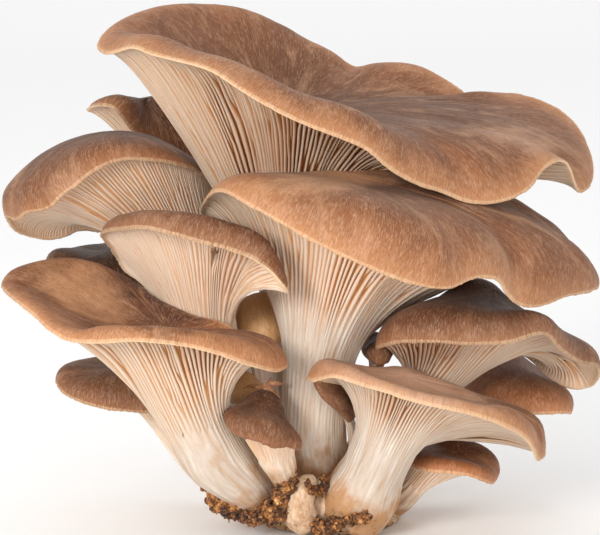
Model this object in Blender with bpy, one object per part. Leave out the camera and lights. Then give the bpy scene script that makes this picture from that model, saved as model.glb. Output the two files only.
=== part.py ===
"""Oyster mushroom cluster.

Seventeen fruit bodies of different sizes grow out of one cut base with a few lumps of
growing substrate left on it. The cluster stands upright on the flat cut underneath.
+Z is up, the front faces -Y, and the origin is in the cut, below the middle of the stems.

Each mushroom is one closed body, cap and stem together. It is laid out by hand with control
points on a front elevation: `across` counts to the right, `down` counts downwards, both in
grid units, and `depth` is the distance in millimetres behind the middle plane. The elevation
is drawn from a station point in front of the cluster and a little above the horizontal.

A mushroom is swept in columns round its stem. Every column runs up the stem, flares along the
gilled underside to the margin, turns round the thin rim, and comes back over the cap to the
centre of the cap.
"""
import math

import bmesh
import bpy
import numpy as np

# ---- driving dimensions, in millimetres unless they say otherwise ----
GRID = 0.3  # one unit of the front elevation
GRID_MIDDLE = (300.0, 267.5)  # across and down of the elevation's middle
STATION = 800.0  # from the middle plane to the station point
STATION_RISE = math.radians(8.0)  # how far above the horizontal it looks from
MIDDLE_LEFT = 2.4  # the elevation's middle, left of the origin
MIDDLE_UP = 76.35  # and above it, along the elevation
GAP = 0.35  # clearance kept between neighbours that grew together
BASE_CENTRE = (2.0, 5.0)
BASE_LIP = 1.2  # height of the widest ring of the base
BASE_DOME = 5.0  # height of the base's plain part
METRE = 0.001

# rim: thickness of the cap at its edge. tau: thickness of the flesh under the middle of the cap.
# k0: how far the flank keeps the stem's direction. k1: how far it runs straight before the margin.
# k2, k3: fullness of the top near the margin and near the centre. psi: degrees that the top rises
# behind the margin. tm: share of the top that the underside follows closely.
SHAPE = dict(k0=0.5, k1=0.35, k2=0.4, k3=0.45, psi=24.0, rim=1.1, even=0.25, soft=0.004, tm=0.0, tau=7.0)

# columns round the stem, then rings on the stem, the underside, the rim and the top
DETAIL = dict(
    large=(32, 5, 8, 1, 7),
    medium=(24, 5, 7, 1, 6),
    small=(18, 5, 6, 1, 5),
    tiny=(12, 4, 5, 1, 4),
)
_ = None  # this column of a margin point keeps the mushroom's own value

# stem: (across, down, depth, radius), from the base up to the neck.
# centre: the middle of the cap's top.
# margin: (across, down, depth, degrees that the edge curls down, k0, k1, k2, tm, psi), right round the cap.
MUSHROOMS = {
    # the largest funnel, its cap leaning to the front right
    "top_mushroom": dict(
        size="large",
        shape=dict(tau=8, tm=0, k0=0.3, k1=0.3, k2=0.36, k3=0.5),
        stem=[(304, 484, 12, 7.2), (300, 420, 14.5, 7.8), (296, 350, 14, 8.2), (290, 285, 12, 9.2)],
        centre=(292, 112, 16),
        margin=[
            (99, 46, -4, 50, 0.14, 0.1), (107, 53, -14, 50, 0.14, 0.1), (118, 51, -20, 40, 0.14, 0.1),
            (134, 46.5, -26, 30, 0.16, 0.12), (150, 53, -30, 25, 0.18, 0.15), (175, 59.5, -34, 20, 0.2, 0.2),
            (199, 65.5, -37, 20), (216, 72, -39, 22), (233, 84, -41, 25), (268, 105, -43, 30),
            (306, 124, -44, 35, 0.32, 0.35), (344, 138, -44, 38, 0.36, 0.4), (368, 149, -43, 38, 0.4, 0.45),
            (383, 163, -42, 35, 0.42, 0.48), (399, 174, -41, 30, 0.45, 0.5), (420, 184.5, -39, 25, 0.48, 0.5),
            (442, 191, -36, 22, 0.5, 0.5), (460, 199, -34, 25, 0.5, 0.5, 0.32),
            (482, 203, -32, 30, 0.45, 0.45, 0.28), (507, 199, -29, 33, 0.4, 0.4, 0.25),
            (529, 187, -24, 30, 0.38, 0.35, 0.22), (541, 170, -18, 18, 0.38, 0.3, 0.2),
            (555, 160, -12, 4, 0.4, 0.25, 0.2), (566, 163, -6, -6, 0.42, 0.22, 0.18),
            (572, 178, 0, -6, 0.42, 0.18, 0.17), (578, 191, 8, 40, 0.42, 0.2, 0.16), (588, 186, 18, 55, _, _, 0.16),
            (592, 168, 28, 35, _, _, 0.14), (580, 133, 42, 5, _, _, 0.12, 0.3), (560, 112, 50, -15, _, _, 0.12, 0.3),
            (535, 100, 54, -20, _, _, 0.14, 0.3), (506, 94, 56, -20, _, _, 0.14, 0.3),
            (476, 101, 57, -30, _, _, 0.2, 0.3), (457, 89, 58, -20, _, _, 0.15, 0.4),
            (437, 76, 60, -10, _, _, 0.12, 0.4), (415, 66, 61, 0, _, _, 0.12, 0.4),
            (385, 64, 62, 0, _, _, 0.12, 0.4), (368, 66, 62, -5, _, _, 0.12, 0.4),
            (354, 69, 62, -20, _, _, 0.16, 0.4), (335, 55, 61, 10, _, _, 0.16, 0.4),
            (300, 41, 60, 35, _, _, 0.25, 0.4), (260, 22, 56, 40, _, _, 0.3, 0.4), (225, 11, 49, 45, _, _, 0.3, 0.4),
            (190, 8, 40, 45, _, _, 0.3, 0.4), (155, 11, 28, 45, 0.14, 0.1, 0.3, 0.4),
            (125, 20, 14, 45, 0.14, 0.1, 0.3, 0.3), (106, 33, 4, 50, 0.14, 0.1, 0.3, 0.2),
        ],
    ),
    # second largest, a broad tongue-shaped cap facing the front
    "center_mushroom": dict(
        size="large",
        shape=dict(tau=7, k2=0.45, k3=0.4),
        stem=[(322, 478, -4, 6.8), (314, 435, -8, 9.3), (314, 400, -12, 9.6), (318, 365, -16, 10.4)],
        centre=(345, 172, -27),
        margin=[
            (203, 213, -22, 20, 0.42, 0.06, 0.25), (207, 199, -34, 25, 0.38, 0.1, 0.25),
            (216, 191, -44, 30, 0.34, 0.15, 0.25), (228, 192, -52, 35, 0.32, 0.2, 0.28),
            (250, 204, -58, 40, 0.3, 0.3, 0.32), (280, 221, -64, 45, _, _, 0.42), (310, 238, -68, 52, _, _, 0.5),
            (340, 253, -71, 55, _, _, 0.54), (370, 266, -72, 58, _, _, 0.56), (400, 278, -71, 58, _, _, 0.55),
            (435, 287, -68, 58, _, _, 0.5), (452, 286, -65, 50, _, _, 0.46), (470, 278, -60, 42, _, _, 0.42),
            (487, 276, -55, 40, _, _, 0.4), (500, 281, -50, 42, _, _, 0.4), (506, 292, -46, 46, _, _, 0.42),
            (518, 303, -41, 48, _, _, 0.42), (537, 305, -35, 48, _, _, 0.4), (566, 295, -26, 44, _, _, 0.34),
            (590, 290, -16, 40, _, _, 0.25), (598, 283, -6, 35, _, _, 0.16), (588, 267, 4, 20, 0.2, 0.3, 0.1),
            (572, 246, 10, 10, 0.2, 0.3, 0.1), (552, 224, 13, 5, 0.2, 0.3, 0.1), (530, 214, 12, 5, 0.2, 0.3, 0.1),
            (500, 214, 8, 0, 0.15, 0.15, 0.1, 0, 30), (450, 218, -2, -12, 0.1, 0.1, 0.1, 0, 36),
            (400, 213, -10, -10, 0.1, 0.1, 0.1, 0, 34), (350, 209, -14, -5, 0.1, 0.1, 0.12, 0, 30),
            (300, 208, -15, 0, 0.15, 0.06, 0.15), (255, 210, -16, 0, 0.3, 0.06, 0.15),
            (222, 216, -17, 0, 0.4, 0.06, 0.15),
        ],
    ),
    # cap under the big one on the right, its far edge rolled down
    "right_upper_mushroom": dict(
        size="medium",
        shape=dict(k3=0.58),
        stem=[(345, 500, 7, 4.8), (355, 470, 6.5, 5.4), (385, 425, 2, 7), (425, 385, -5, 8)],
        centre=(492, 288, -7),
        margin=[
            (377, 347, -31, 40, 0.1, 0.12, 0.28), (387, 344, -38, 46, 0.1, 0.14, 0.28),
            (400, 341, -41, 52, 0.12, 0.16, 0.31), (436, 341, -45, 56, 0.3, 0.3, 0.36),
            (475, 343, -45, 50, _, _, 0.38), (510, 341, -42, 38, _, _, 0.4), (523, 337, -39, 34, _, _, 0.42),
            (536, 333, -35, 36, _, _, 0.44), (547, 334, -31, 42, _, _, 0.44), (556, 344, -26, 46, _, _, 0.4),
            (565, 352, -20, 46, _, _, 0.36), (580, 361, -12, 42, 0.5, 0.25, 0.3),
            (597, 365, -4, 42, 0.55, 0.25, 0.22), (597, 378, 6, 40, 0.62, 0.25, 0.17),
            (588, 386, 12, 36, 0.72, 0.28, 0.16), (571, 387, 13, 25, 0.78, 0.28, 0.15),
            (552, 378, 13, 20, 0.8, 0.26, 0.15), (530, 358, 12, 15, 0.78, 0.24, 0.25),
            (502, 345, 12, 5, 0.66, 0.24, 0.3), (460, 335, 13, 0, 0.42, 0.25), (432, 330, 6, 5),
            (408, 334, -8, 15, 0.1, 0.12, 0.3), (389, 340.5, -22, 36, 0.1, 0.12, 0.3),
        ],
    ),
    # low cap at the front right, leaning right
    "right_lower_mushroom": dict(
        size="medium",
        shape=dict(k3=0.6),
        stem=[(352, 512, -15, 9.6), (362, 494, -18, 10.5), (374, 469, -23, 9.2), (384, 447, -28, 9.4)],
        centre=(404, 375, -30),
        margin=[
            (309, 377, -38, 40), (313, 380, -46, 40), (322, 378, -51, 35), (335, 376, -55, 30, _, _, 0.34),
            (364, 385, -59, 30, _, _, 0.3), (387, 391.5, -61, 30, _, _, 0.28), (409, 399, -62, 30, _, _, 0.28),
            (433, 405, -62, 30, _, _, 0.28), (459, 410.5, -60, 30, _, _, 0.28), (485, 417.5, -57, 30, _, _, 0.28),
            (509, 427, -52, 32, _, _, 0.3), (525, 436.5, -46, 35), (533, 448, -40, 40), (538, 459, -32, 50),
            (544, 454, -22, 35, 0.1, 0.3), (540, 452, -14, 0, 0.1, 0.4), (518, 446, -8, -15, 0.1, 0.4),
            (485, 438, -6, -20, 0.1, 0.45), (445, 426, -8, -20, 0.15, 0.4), (400, 408, -13, -10, 0.2, 0.3),
            (365, 390, -20, 10, 0.3, 0.3), (335, 382, -29, 25),
        ],
    ),
    # low cap at the front left with a folded ridge
    "left_lower_mushroom": dict(
        size="medium",
        shape=dict(tau=7),
        stem=[(261, 504, -12, 6.2), (247, 485, -15, 7.6), (216, 453, -22, 10.2), (200, 425, -28, 10.4)],
        centre=(168, 334, -32),
        margin=[
            (3, 284, -16, 45, 0.42, 0.3, 0.14, 0.5), (14, 298, -28, 40, 0.45, 0.3, 0.14, 0.5),
            (33, 313, -40, 35, 0.5, 0.3, 0.16, 0.4), (50, 329, -50, 35, 0.5, 0.3, 0.2, 0.2),
            (70, 340, -56, 35, 0.45, 0.3, 0.26), (95, 341.5, -59, 35, 0.36, 0.3), (140, 340, -61, 35),
            (180, 344, -62, 35), (215, 352, -61, 38), (250, 364, -57, 40), (275, 370, -50, 45), (286, 365, -43, 45),
            (280, 356, -36, 40), (260, 344, -31, 30), (240, 333, -28, 10), (215, 322, -28, 8),
            (196, 318, -27, 10, 0.25, 0.25), (180, 311, -23, 14, 0.25, 0.25), (160, 302, -19, 18, 0.25, 0.25),
            (130, 281, -8, 22, 0.2, 0.25, 0.2, 0.3), (95, 267, -3, 35, _, _, 0.26, 0.5),
            (60, 262, -2, 40, 0.25, 0.3, 0.18, 0.5), (30, 266, -7, 40, 0.32, 0.3, 0.14, 0.5),
            (10, 274, -12, 45, 0.4, 0.3, 0.14, 0.5),
        ],
    ),
    # half funnel above it, open to the back right
    "left_middle_mushroom": dict(
        size="medium",
        shape=dict(k3=0.55),
        stem=[(276, 490, 3, 4.4), (243, 440, 2, 5.2), (228, 392, -2, 6.4), (213, 345, -9, 8)],
        centre=(190, 229, -20),
        margin=[
            (102, 235, -16, 40, 0.06, 0.06, 0.36), (106, 231, -24, 45, 0.1, 0.1, 0.42),
            (120, 228.5, -33, 50, 0.15, 0.15, 0.52), (145, 227, -42, 52, 0.25, 0.25, 0.6),
            (176, 234, -48, 52, _, _, 0.62), (204, 242, -52, 52, _, _, 0.56), (230, 248.5, -54, 50, _, _, 0.48),
            (253, 257.5, -56, 38, 0.42, 0.34, 0.38, 0, 50), (270, 270, -55, 10, 0.42, 0.3, 0.3, 0, 62),
            (282, 284, -54, -10, 0.38, 0.3, 0.24, 0, 72), (287, 291, -51, -20, 0.35, 0.3, 0.2, 0, 80),
            (281, 289, -46, -20, 0.35, 0.28, 0.2, 0, 74), (264, 281, -39, -12, 0.3, 0.25, 0.2, 0, 58),
            (246, 277, -30, -4, 0.28, 0.2, 0.2, 0, 42), (230, 276, -18, 5, 0.2, 0.15, 0.2),
            (212, 281, -4, 5, 0.06, 0.06, 0.2), (185, 295, 5, 0, 0.06, 0.06, 0.1), (165, 296, 7, 0, 0.04, 0.04, 0.1),
            (146, 283, 7, 0, 0.04, 0.04, 0.1), (127, 271, 3, 5, 0.04, 0.04, 0.1),
            (118, 257, -3, 15, 0.04, 0.04, 0.2), (110, 245, -9, 30, 0.04, 0.04, 0.28),
        ],
    ),
    # hood-shaped cap at the upper left, rolled down all round
    "left_upper_mushroom": dict(
        size="medium",
        shape=dict(k3=0.5),
        axis=(-0.05, 0, 1),
        stem=[(266, 486, 12, 4), (246, 430, 14, 4.8), (227, 350, 18, 6), (193, 262, 16, 8.6)],
        centre=(108, 131, 8),
        margin=[
            (7, 216, 2, 50, 0.15, 0.25, 0.31), (18, 218, -6, 48, 0.12, 0.2, 0.31),
            (28, 211, -12, 46, 0.12, 0.18, 0.32), (43, 209, -15, 44, 0.12, 0.16, 0.34),
            (52, 205, -17, 42, 0.12, 0.15, 0.36), (61, 195, -18, 40, 0.12, 0.15, 0.38),
            (74, 186, -18, 38, 0.12, 0.15, 0.38), (88, 174, -17, 36, 0.12, 0.15, 0.36),
            (105, 164, -15, 32, 0.15, 0.15, 0.33), (125, 159, -13, 28, 0.15, 0.15, 0.27),
            (147, 159.5, -10, 24, 0.15, 0.15, 0.22), (169, 162, -6, 20, 0.15, 0.15, 0.16),
            (190, 168, 1, 14, 0.15, 0.12, 0.12), (208, 176, 10, 12, 0.12, 0.1, 0.1), (217, 192, 19, 10, 0.1, 0.1),
            (213, 208, 24, 10, 0.1, 0.1), (185, 218, 26, 10, 0.1, 0.1), (150, 226, 28, 20, 0.1, 0.15),
            (110, 231, 30, 36, 0.15, 0.2), (80, 229, 30, 44, 0.2, 0.25), (66, 235, 28, 50, 0.2, 0.3, 0.32),
            (52, 238, 26, 52, 0.2, 0.3, 0.34), (30, 235, 20, 52, 0.2, 0.3, 0.32),
            (14, 228, 11, 52, 0.18, 0.28, 0.31),
        ],
    ),
    # small fan behind it
    "left_upper_back_mushroom": dict(
        size="small",
        stem=[(282, 478, 24, 3.6), (262, 400, 31, 4.2), (232, 300, 46, 5), (190, 215, 50, 5.5)],
        centre=(150, 97, 44),
        margin=[
            (89, 110, 38, -20, 0.5, 0.08, 0.2, 0, 76), (94, 106, 32, 0, 0.45, 0.1, 0.22, 0, 60),
            (105, 105, 28, 15, 0.35, 0.12, 0.3, 0, 44), (115, 108, 26, 24, 0.3, 0.15), (122, 116, 27, 28, 0.3, 0.2),
            (129, 125, 29, 30, 0.3, 0.2), (140, 138, 32, 30, 0.3, 0.25), (158, 150, 35, 30), (180, 160, 38, 30),
            (198, 163, 43, 20), (203, 152, 50, 10), (196, 134, 57, 10), (180, 118, 61, 20), (155, 108, 62, 30),
            (130, 108, 56, 20), (103, 111, 47, -5, 0.45, 0.1, 0.25, 0, 60),
        ],
    ),
    # flat cap behind the left side
    "left_back_mushroom": dict(
        size="small",
        stem=[(254, 492, 20, 4), (225, 450, 28, 4), (185, 390, 36, 5), (150, 330, 36, 6)],
        centre=(115, 247, 32),
        margin=[
            (47, 263, 24, 40), (60, 275, 18, 40), (85, 285, 14, 40), (115, 290, 14, 40), (145, 285, 18, 30),
            (160, 275, 26, 20), (160, 262, 38, 20), (145, 255, 47, 30), (115, 254, 51, 30), (80, 256, 45, 30),
            (57, 260, 36, 35),
        ],
    ),
    # small flat cap low on the left
    "left_small_mushroom": dict(
        size="small",
        shape=dict(k0=0.2, k1=0.4),
        stem=[(250, 505, 4, 4), (218, 485, 5, 4), (187, 453, 8, 4), (168, 425, 8, 4.5)],
        centre=(125, 360, 8),
        margin=[
            (57, 381, 0, 45), (66, 393, -5, 45), (80, 400, -9, 45), (110, 408, -12, 45), (148, 411, -12, 45),
            (172, 405, -7, 40), (182, 390, 2, 30), (178, 374, 12, 20), (155, 366, 20, 20), (120, 364, 22, 30),
            (90, 366, 18, 40), (65, 372, 9, 45),
        ],
    ),
    # small flat cap behind on the right
    "right_back_mushroom": dict(
        size="small",
        stem=[(360, 500, 15, 4), (390, 468, 21, 4), (432, 436, 25, 4.8), (472, 412, 24, 5.6)],
        centre=(519, 353, 24),
        margin=[
            (460, 382, 14, 40), (466, 397, 6, 40), (490, 408, -4, 42, _, _, 0.3), (524, 413, -9, 42, _, _, 0.28),
            (550, 412.5, -8, 38, _, _, 0.28), (562, 412, -5, 35, _, _, 0.28), (570, 412, 1, 40, _, _, 0.28),
            (570, 404, 12, 40, _, _, 0.3), (560, 398, 26, 30), (535, 384, 36, 20), (508, 374, 41, 20),
            (482, 372, 36, 30), (465, 376, 25, 40),
        ],
    ),
    # the lowest cap on the right
    "right_small_mushroom": dict(
        size="small",
        shape=dict(k0=0.12, k1=0.3, tau=4),
        stem=[(388, 506, 3, 3.8), (395, 501, 1, 4.3), (404, 494, -4, 4.2), (415, 484, -10, 3.8)],
        centre=(456, 447, -12),
        margin=[
            (408, 461, -14, 25, 0.1, 0.1, 0.3), (417, 467, -22, 35, _, _, 0.35), (430, 470.5, -26, 40),
            (450, 472, -28, 40), (470, 475, -28, 45), (484, 480, -25, 50), (492, 482, -19, 55), (497, 474, -10, 50),
            (492, 464, -2, 40), (475, 458, 4, 30), (450, 456, 5, 20), (425, 458, 1, 20),
            (412, 459, -7, 25, 0.1, 0.1, 0.25),
        ],
    ),
    # young button in front of the stems
    "front_button": dict(
        size="tiny",
        shape=dict(rim=2, k0=0.2, k1=0.2, k2=0.6, k3=0.6, tau=8),
        stem=[(286, 486, -20, 3.6), (282, 470, -24.5, 4.4), (276, 454, -30, 5.2)],
        centre=(260, 397, -34),
        margin=[
            (230, 422, -38, 68), (234, 430, -43, 66), (244, 435, -46, 62), (257, 438, -48, 58), (271, 443, -47, 50),
            (286, 444, -43, 40, _, _, 0.3), (299, 445, -37, 20, 0.12, 0.12, 0.14),
            (292, 437, -31, 20, 0.1, 0.1, 0.16), (281, 427, -27, 30, 0.12, 0.12, 0.3), (270, 417, -24, 50),
            (256, 412, -26, 60), (240, 414, -32, 64),
        ],
    ),
    # ochre button hidden between the stems
    "young_button": dict(
        size="tiny",
        shape=dict(rim=2, k0=0.05, k1=0.05, k2=0.5, k3=0.6, tau=12),
        stem=[(284, 481, -4, 2.6), (273, 440, -4, 3.2), (266, 385, -4, 3.4), (262, 362, -4, 3.4)],
        centre=(257, 292.5, -1),
        margin=[
            (245, 330, -5, 60), (249, 340, -9, 60), (258, 346, -12, 60), (269, 348, -12, 60), (277, 343, -9, 60),
            (279, 333, -3, 60), (274, 322, 2, 50), (262, 312, 5, 40), (252, 312, 5, 40), (246, 320, 0, 50),
        ],
    ),
    # tiny ochre button behind the front left cap
    "young_back_button": dict(
        size="tiny",
        shape=dict(rim=1.6, k0=0.05, k1=0.05, k2=0.5, k3=0.4, tau=8),
        stem=[(285, 484, -10, 1.8), (273, 460, -12, 1.9), (254, 425, -14, 1.9), (247, 410, -16, 1.8)],
        centre=(247, 371, -15),
        margin=[
            (231, 398, -15, 60), (238, 402, -19, 60), (248, 401, -21, 60), (256, 396, -19, 60), (258, 389, -16, 60),
            (252, 385, -13, 60), (242, 385, -13, 60), (234, 391, -14, 60),
        ],
    ),
    # thin curled cap beside the right front stem
    "side_cap_mushroom": dict(
        size="tiny",
        shape=dict(rim=1.4, k0=0.05, k1=0.05, k2=0.3, k3=0.4, tau=3),
        stem=[(347.5, 490, -4, 1.3), (351.5, 465, -7.2, 1.3), (353, 440, -11, 1.4), (350, 421, -16.5, 1.5), (342, 406, -22, 1.4)],
        centre=(333, 396, -30.5),
        margin=[
            (317, 383, -29, 30), (323, 396, -29, 35), (334, 406, -28, 35), (344, 415, -25, 35),
            (350, 420, -21.5, 30), (354, 411, -20, 30), (351, 399, -22, 30), (341, 388, -25, 30),
            (328, 380, -27.5, 30),
        ],
    ),
    # tiny cap on a thread-like stem
    "tiny_mushroom": dict(
        size="tiny",
        shape=dict(rim=1.6, k0=0.05, k1=0.05, k2=0.5, k3=0.4, tau=5),
        stem=[(357, 480, -1.5, 1.7), (363, 450, -4.5, 1.9), (369, 408, -5, 2), (376, 370, -9, 1.8)],
        centre=(376, 333, -9),
        margin=[
            (366.5, 354, -10, 50), (371, 359, -17, 50), (377, 361.5, -22, 50), (383, 361, -22, 50),
            (388.3, 358, -18, 50), (389, 353, -13, 50), (384.5, 348, -7, 50), (378, 345, -3, 50), (370, 346, -3, 50),
            (366.5, 350, -6, 50),
        ],
    ),
}

# the base: radius of its outline every 30 degrees, and its swellings (x, y, width x, width y, height)
BASE_OUTLINE = [26, 26, 26, 27, 27, 25, 21, 17, 20, 23, 26, 26]
BASE_SWELLINGS = [(-1, -12, 5.5, 6, 11), (0, 10, 13, 9, 11), (4.5, -4, 7, 6, 7), (12, 10, 8, 8, 3), (-10, 14, 7, 8, 3)]

# lumps of substrate on the base: centre, half sizes, how rough, and the stems that they cling to
LUMPS = {
    "crust_left": ((-27.6, -13.6, 11.2), (4.6, 4.6, 6.6), 0.16, ["left_lower_mushroom", "left_small_mushroom", "left_middle_mushroom"]),
    "crust_front_left": ((-11.5, -15.5, 5.4), (7.0, 5.2, 4.6), 0.15, ["left_lower_mushroom", "left_middle_mushroom", "front_button"]),
    "crust_front_right": ((10.8, -23.6, 3.5), (10.0, 5.2, 3.2), 0.12, ["right_lower_mushroom", "right_small_mushroom"]),
}

COLOURS = {
    "cap": ((0.33, 0.20, 0.125), 0.55),
    "ochre": ((0.42, 0.24, 0.09), 0.5),
    "base": ((0.62, 0.47, 0.32), 0.7),
    "substrate": ((0.09, 0.055, 0.03), 0.9),
}


# ---- the front elevation ----
RISE_SIN, RISE_COS = math.sin(STATION_RISE), math.cos(STATION_RISE)
MIDDLE = np.array([-MIDDLE_LEFT, RISE_SIN * MIDDLE_UP, RISE_COS * MIDDLE_UP])
INTO, UPWARDS, RIGHT = np.array([0, RISE_COS, -RISE_SIN]), np.array([0, RISE_SIN, RISE_COS]), np.array([1.0, 0, 0])


def place(across, down, depth):
    """World millimetres of a point of the front elevation at a depth."""
    across, down, depth = (np.asarray(a, float) for a in (across, down, depth))
    u = (across - GRID_MIDDLE[0]) * GRID
    v = (GRID_MIDDLE[1] - down) * GRID
    behind = (depth - MIDDLE[1] - RISE_SIN * v) / (RISE_COS + RISE_SIN * v / STATION)
    spread = 1 + behind / STATION
    return MIDDLE + RIGHT * (u * spread)[..., None] + UPWARDS * (v * spread)[..., None] + INTO * behind[..., None]


# ---- curves ----
def unit(a):
    return a / np.maximum(np.linalg.norm(a, axis=-1, keepdims=True), 1e-9)


def spline(points, closed, count):
    """Samples of a smooth curve through points. The first three columns set its pace."""
    points = np.asarray(points, float)
    if closed:
        q = np.vstack([points[-1], points, points[0], points[1]])
    else:
        q = np.vstack([2 * points[0] - points[1], points, 2 * points[-1] - points[-2]])
    steps = np.sqrt(np.maximum(np.linalg.norm(np.diff(q[:, :3], axis=0), axis=1), 1e-6))
    t = np.concatenate([[0], np.cumsum(steps)])
    spans = len(q) - 3
    at = t[1] + (t[1 + spans] - t[1]) * np.arange(count) / (count if closed else count - 1)
    i = np.clip(np.searchsorted(t[1 : 2 + spans], at, side="right") - 1, 0, spans - 1)
    a, b, c, d = q[i], q[i + 1], q[i + 2], q[i + 3]
    ta, tb, tc, td = (t[i + k][:, None] for k in range(4))
    at = at[:, None]
    a1 = (tb - at) / (tb - ta) * a + (at - ta) / (tb - ta) * b
    a2 = (tc - at) / (tc - tb) * b + (at - tb) / (tc - tb) * c
    a3 = (td - at) / (td - tc) * c + (at - tc) / (td - tc) * d
    b1 = (tc - at) / (tc - ta) * a1 + (at - ta) / (tc - ta) * a2
    b2 = (td - at) / (td - tb) * a2 + (at - tb) / (td - tb) * a3
    return (tc - at) / (tc - tb) * b1 + (at - tb) / (tc - tb) * b2


def evenly_round(loop, count):
    """A closed loop again, with its points at even distances."""
    d = np.vstack([loop, loop[:1]])
    s = np.concatenate([[0], np.cumsum(np.linalg.norm(np.diff(d[:, :3], axis=0), axis=1))])
    q = np.arange(count) / count * s[-1]
    return np.stack([np.interp(q, s, d[:, k]) for k in range(d.shape[1])], axis=1)


def softened(loop, width):
    """A closed loop with its small ripples smoothed away."""
    f = np.fft.rfft(loop, axis=0)
    g = np.exp(-0.5 * (np.arange(len(f)) * width * 2 * np.pi) ** 2)
    return np.fft.irfft(f * g.reshape(-1, *([1] * (loop.ndim - 1))), n=len(loop), axis=0)


def bezier(p0, p1, p2, p3, t):
    t = t[None, :, None]
    p0, p1, p2, p3 = (q[:, None, :] for q in (p0, p1, p2, p3))
    return (1 - t) ** 3 * p0 + 3 * (1 - t) ** 2 * t * p1 + 3 * (1 - t) * t * t * p2 + t**3 * p3


def evenly_along(lines, count):
    """Each of a set of polylines again, with its points at even distances."""
    s = np.concatenate([np.zeros((len(lines), 1)), np.cumsum(np.linalg.norm(np.diff(lines, axis=1), axis=2), 1)], 1)
    s /= s[:, -1:]
    q = np.linspace(0, 1, count)
    out = np.empty((len(lines), count, 3))
    for j in range(len(lines)):
        for c in range(3):
            out[j, :, c] = np.interp(q, s[j], lines[j, :, c])
    return out


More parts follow.
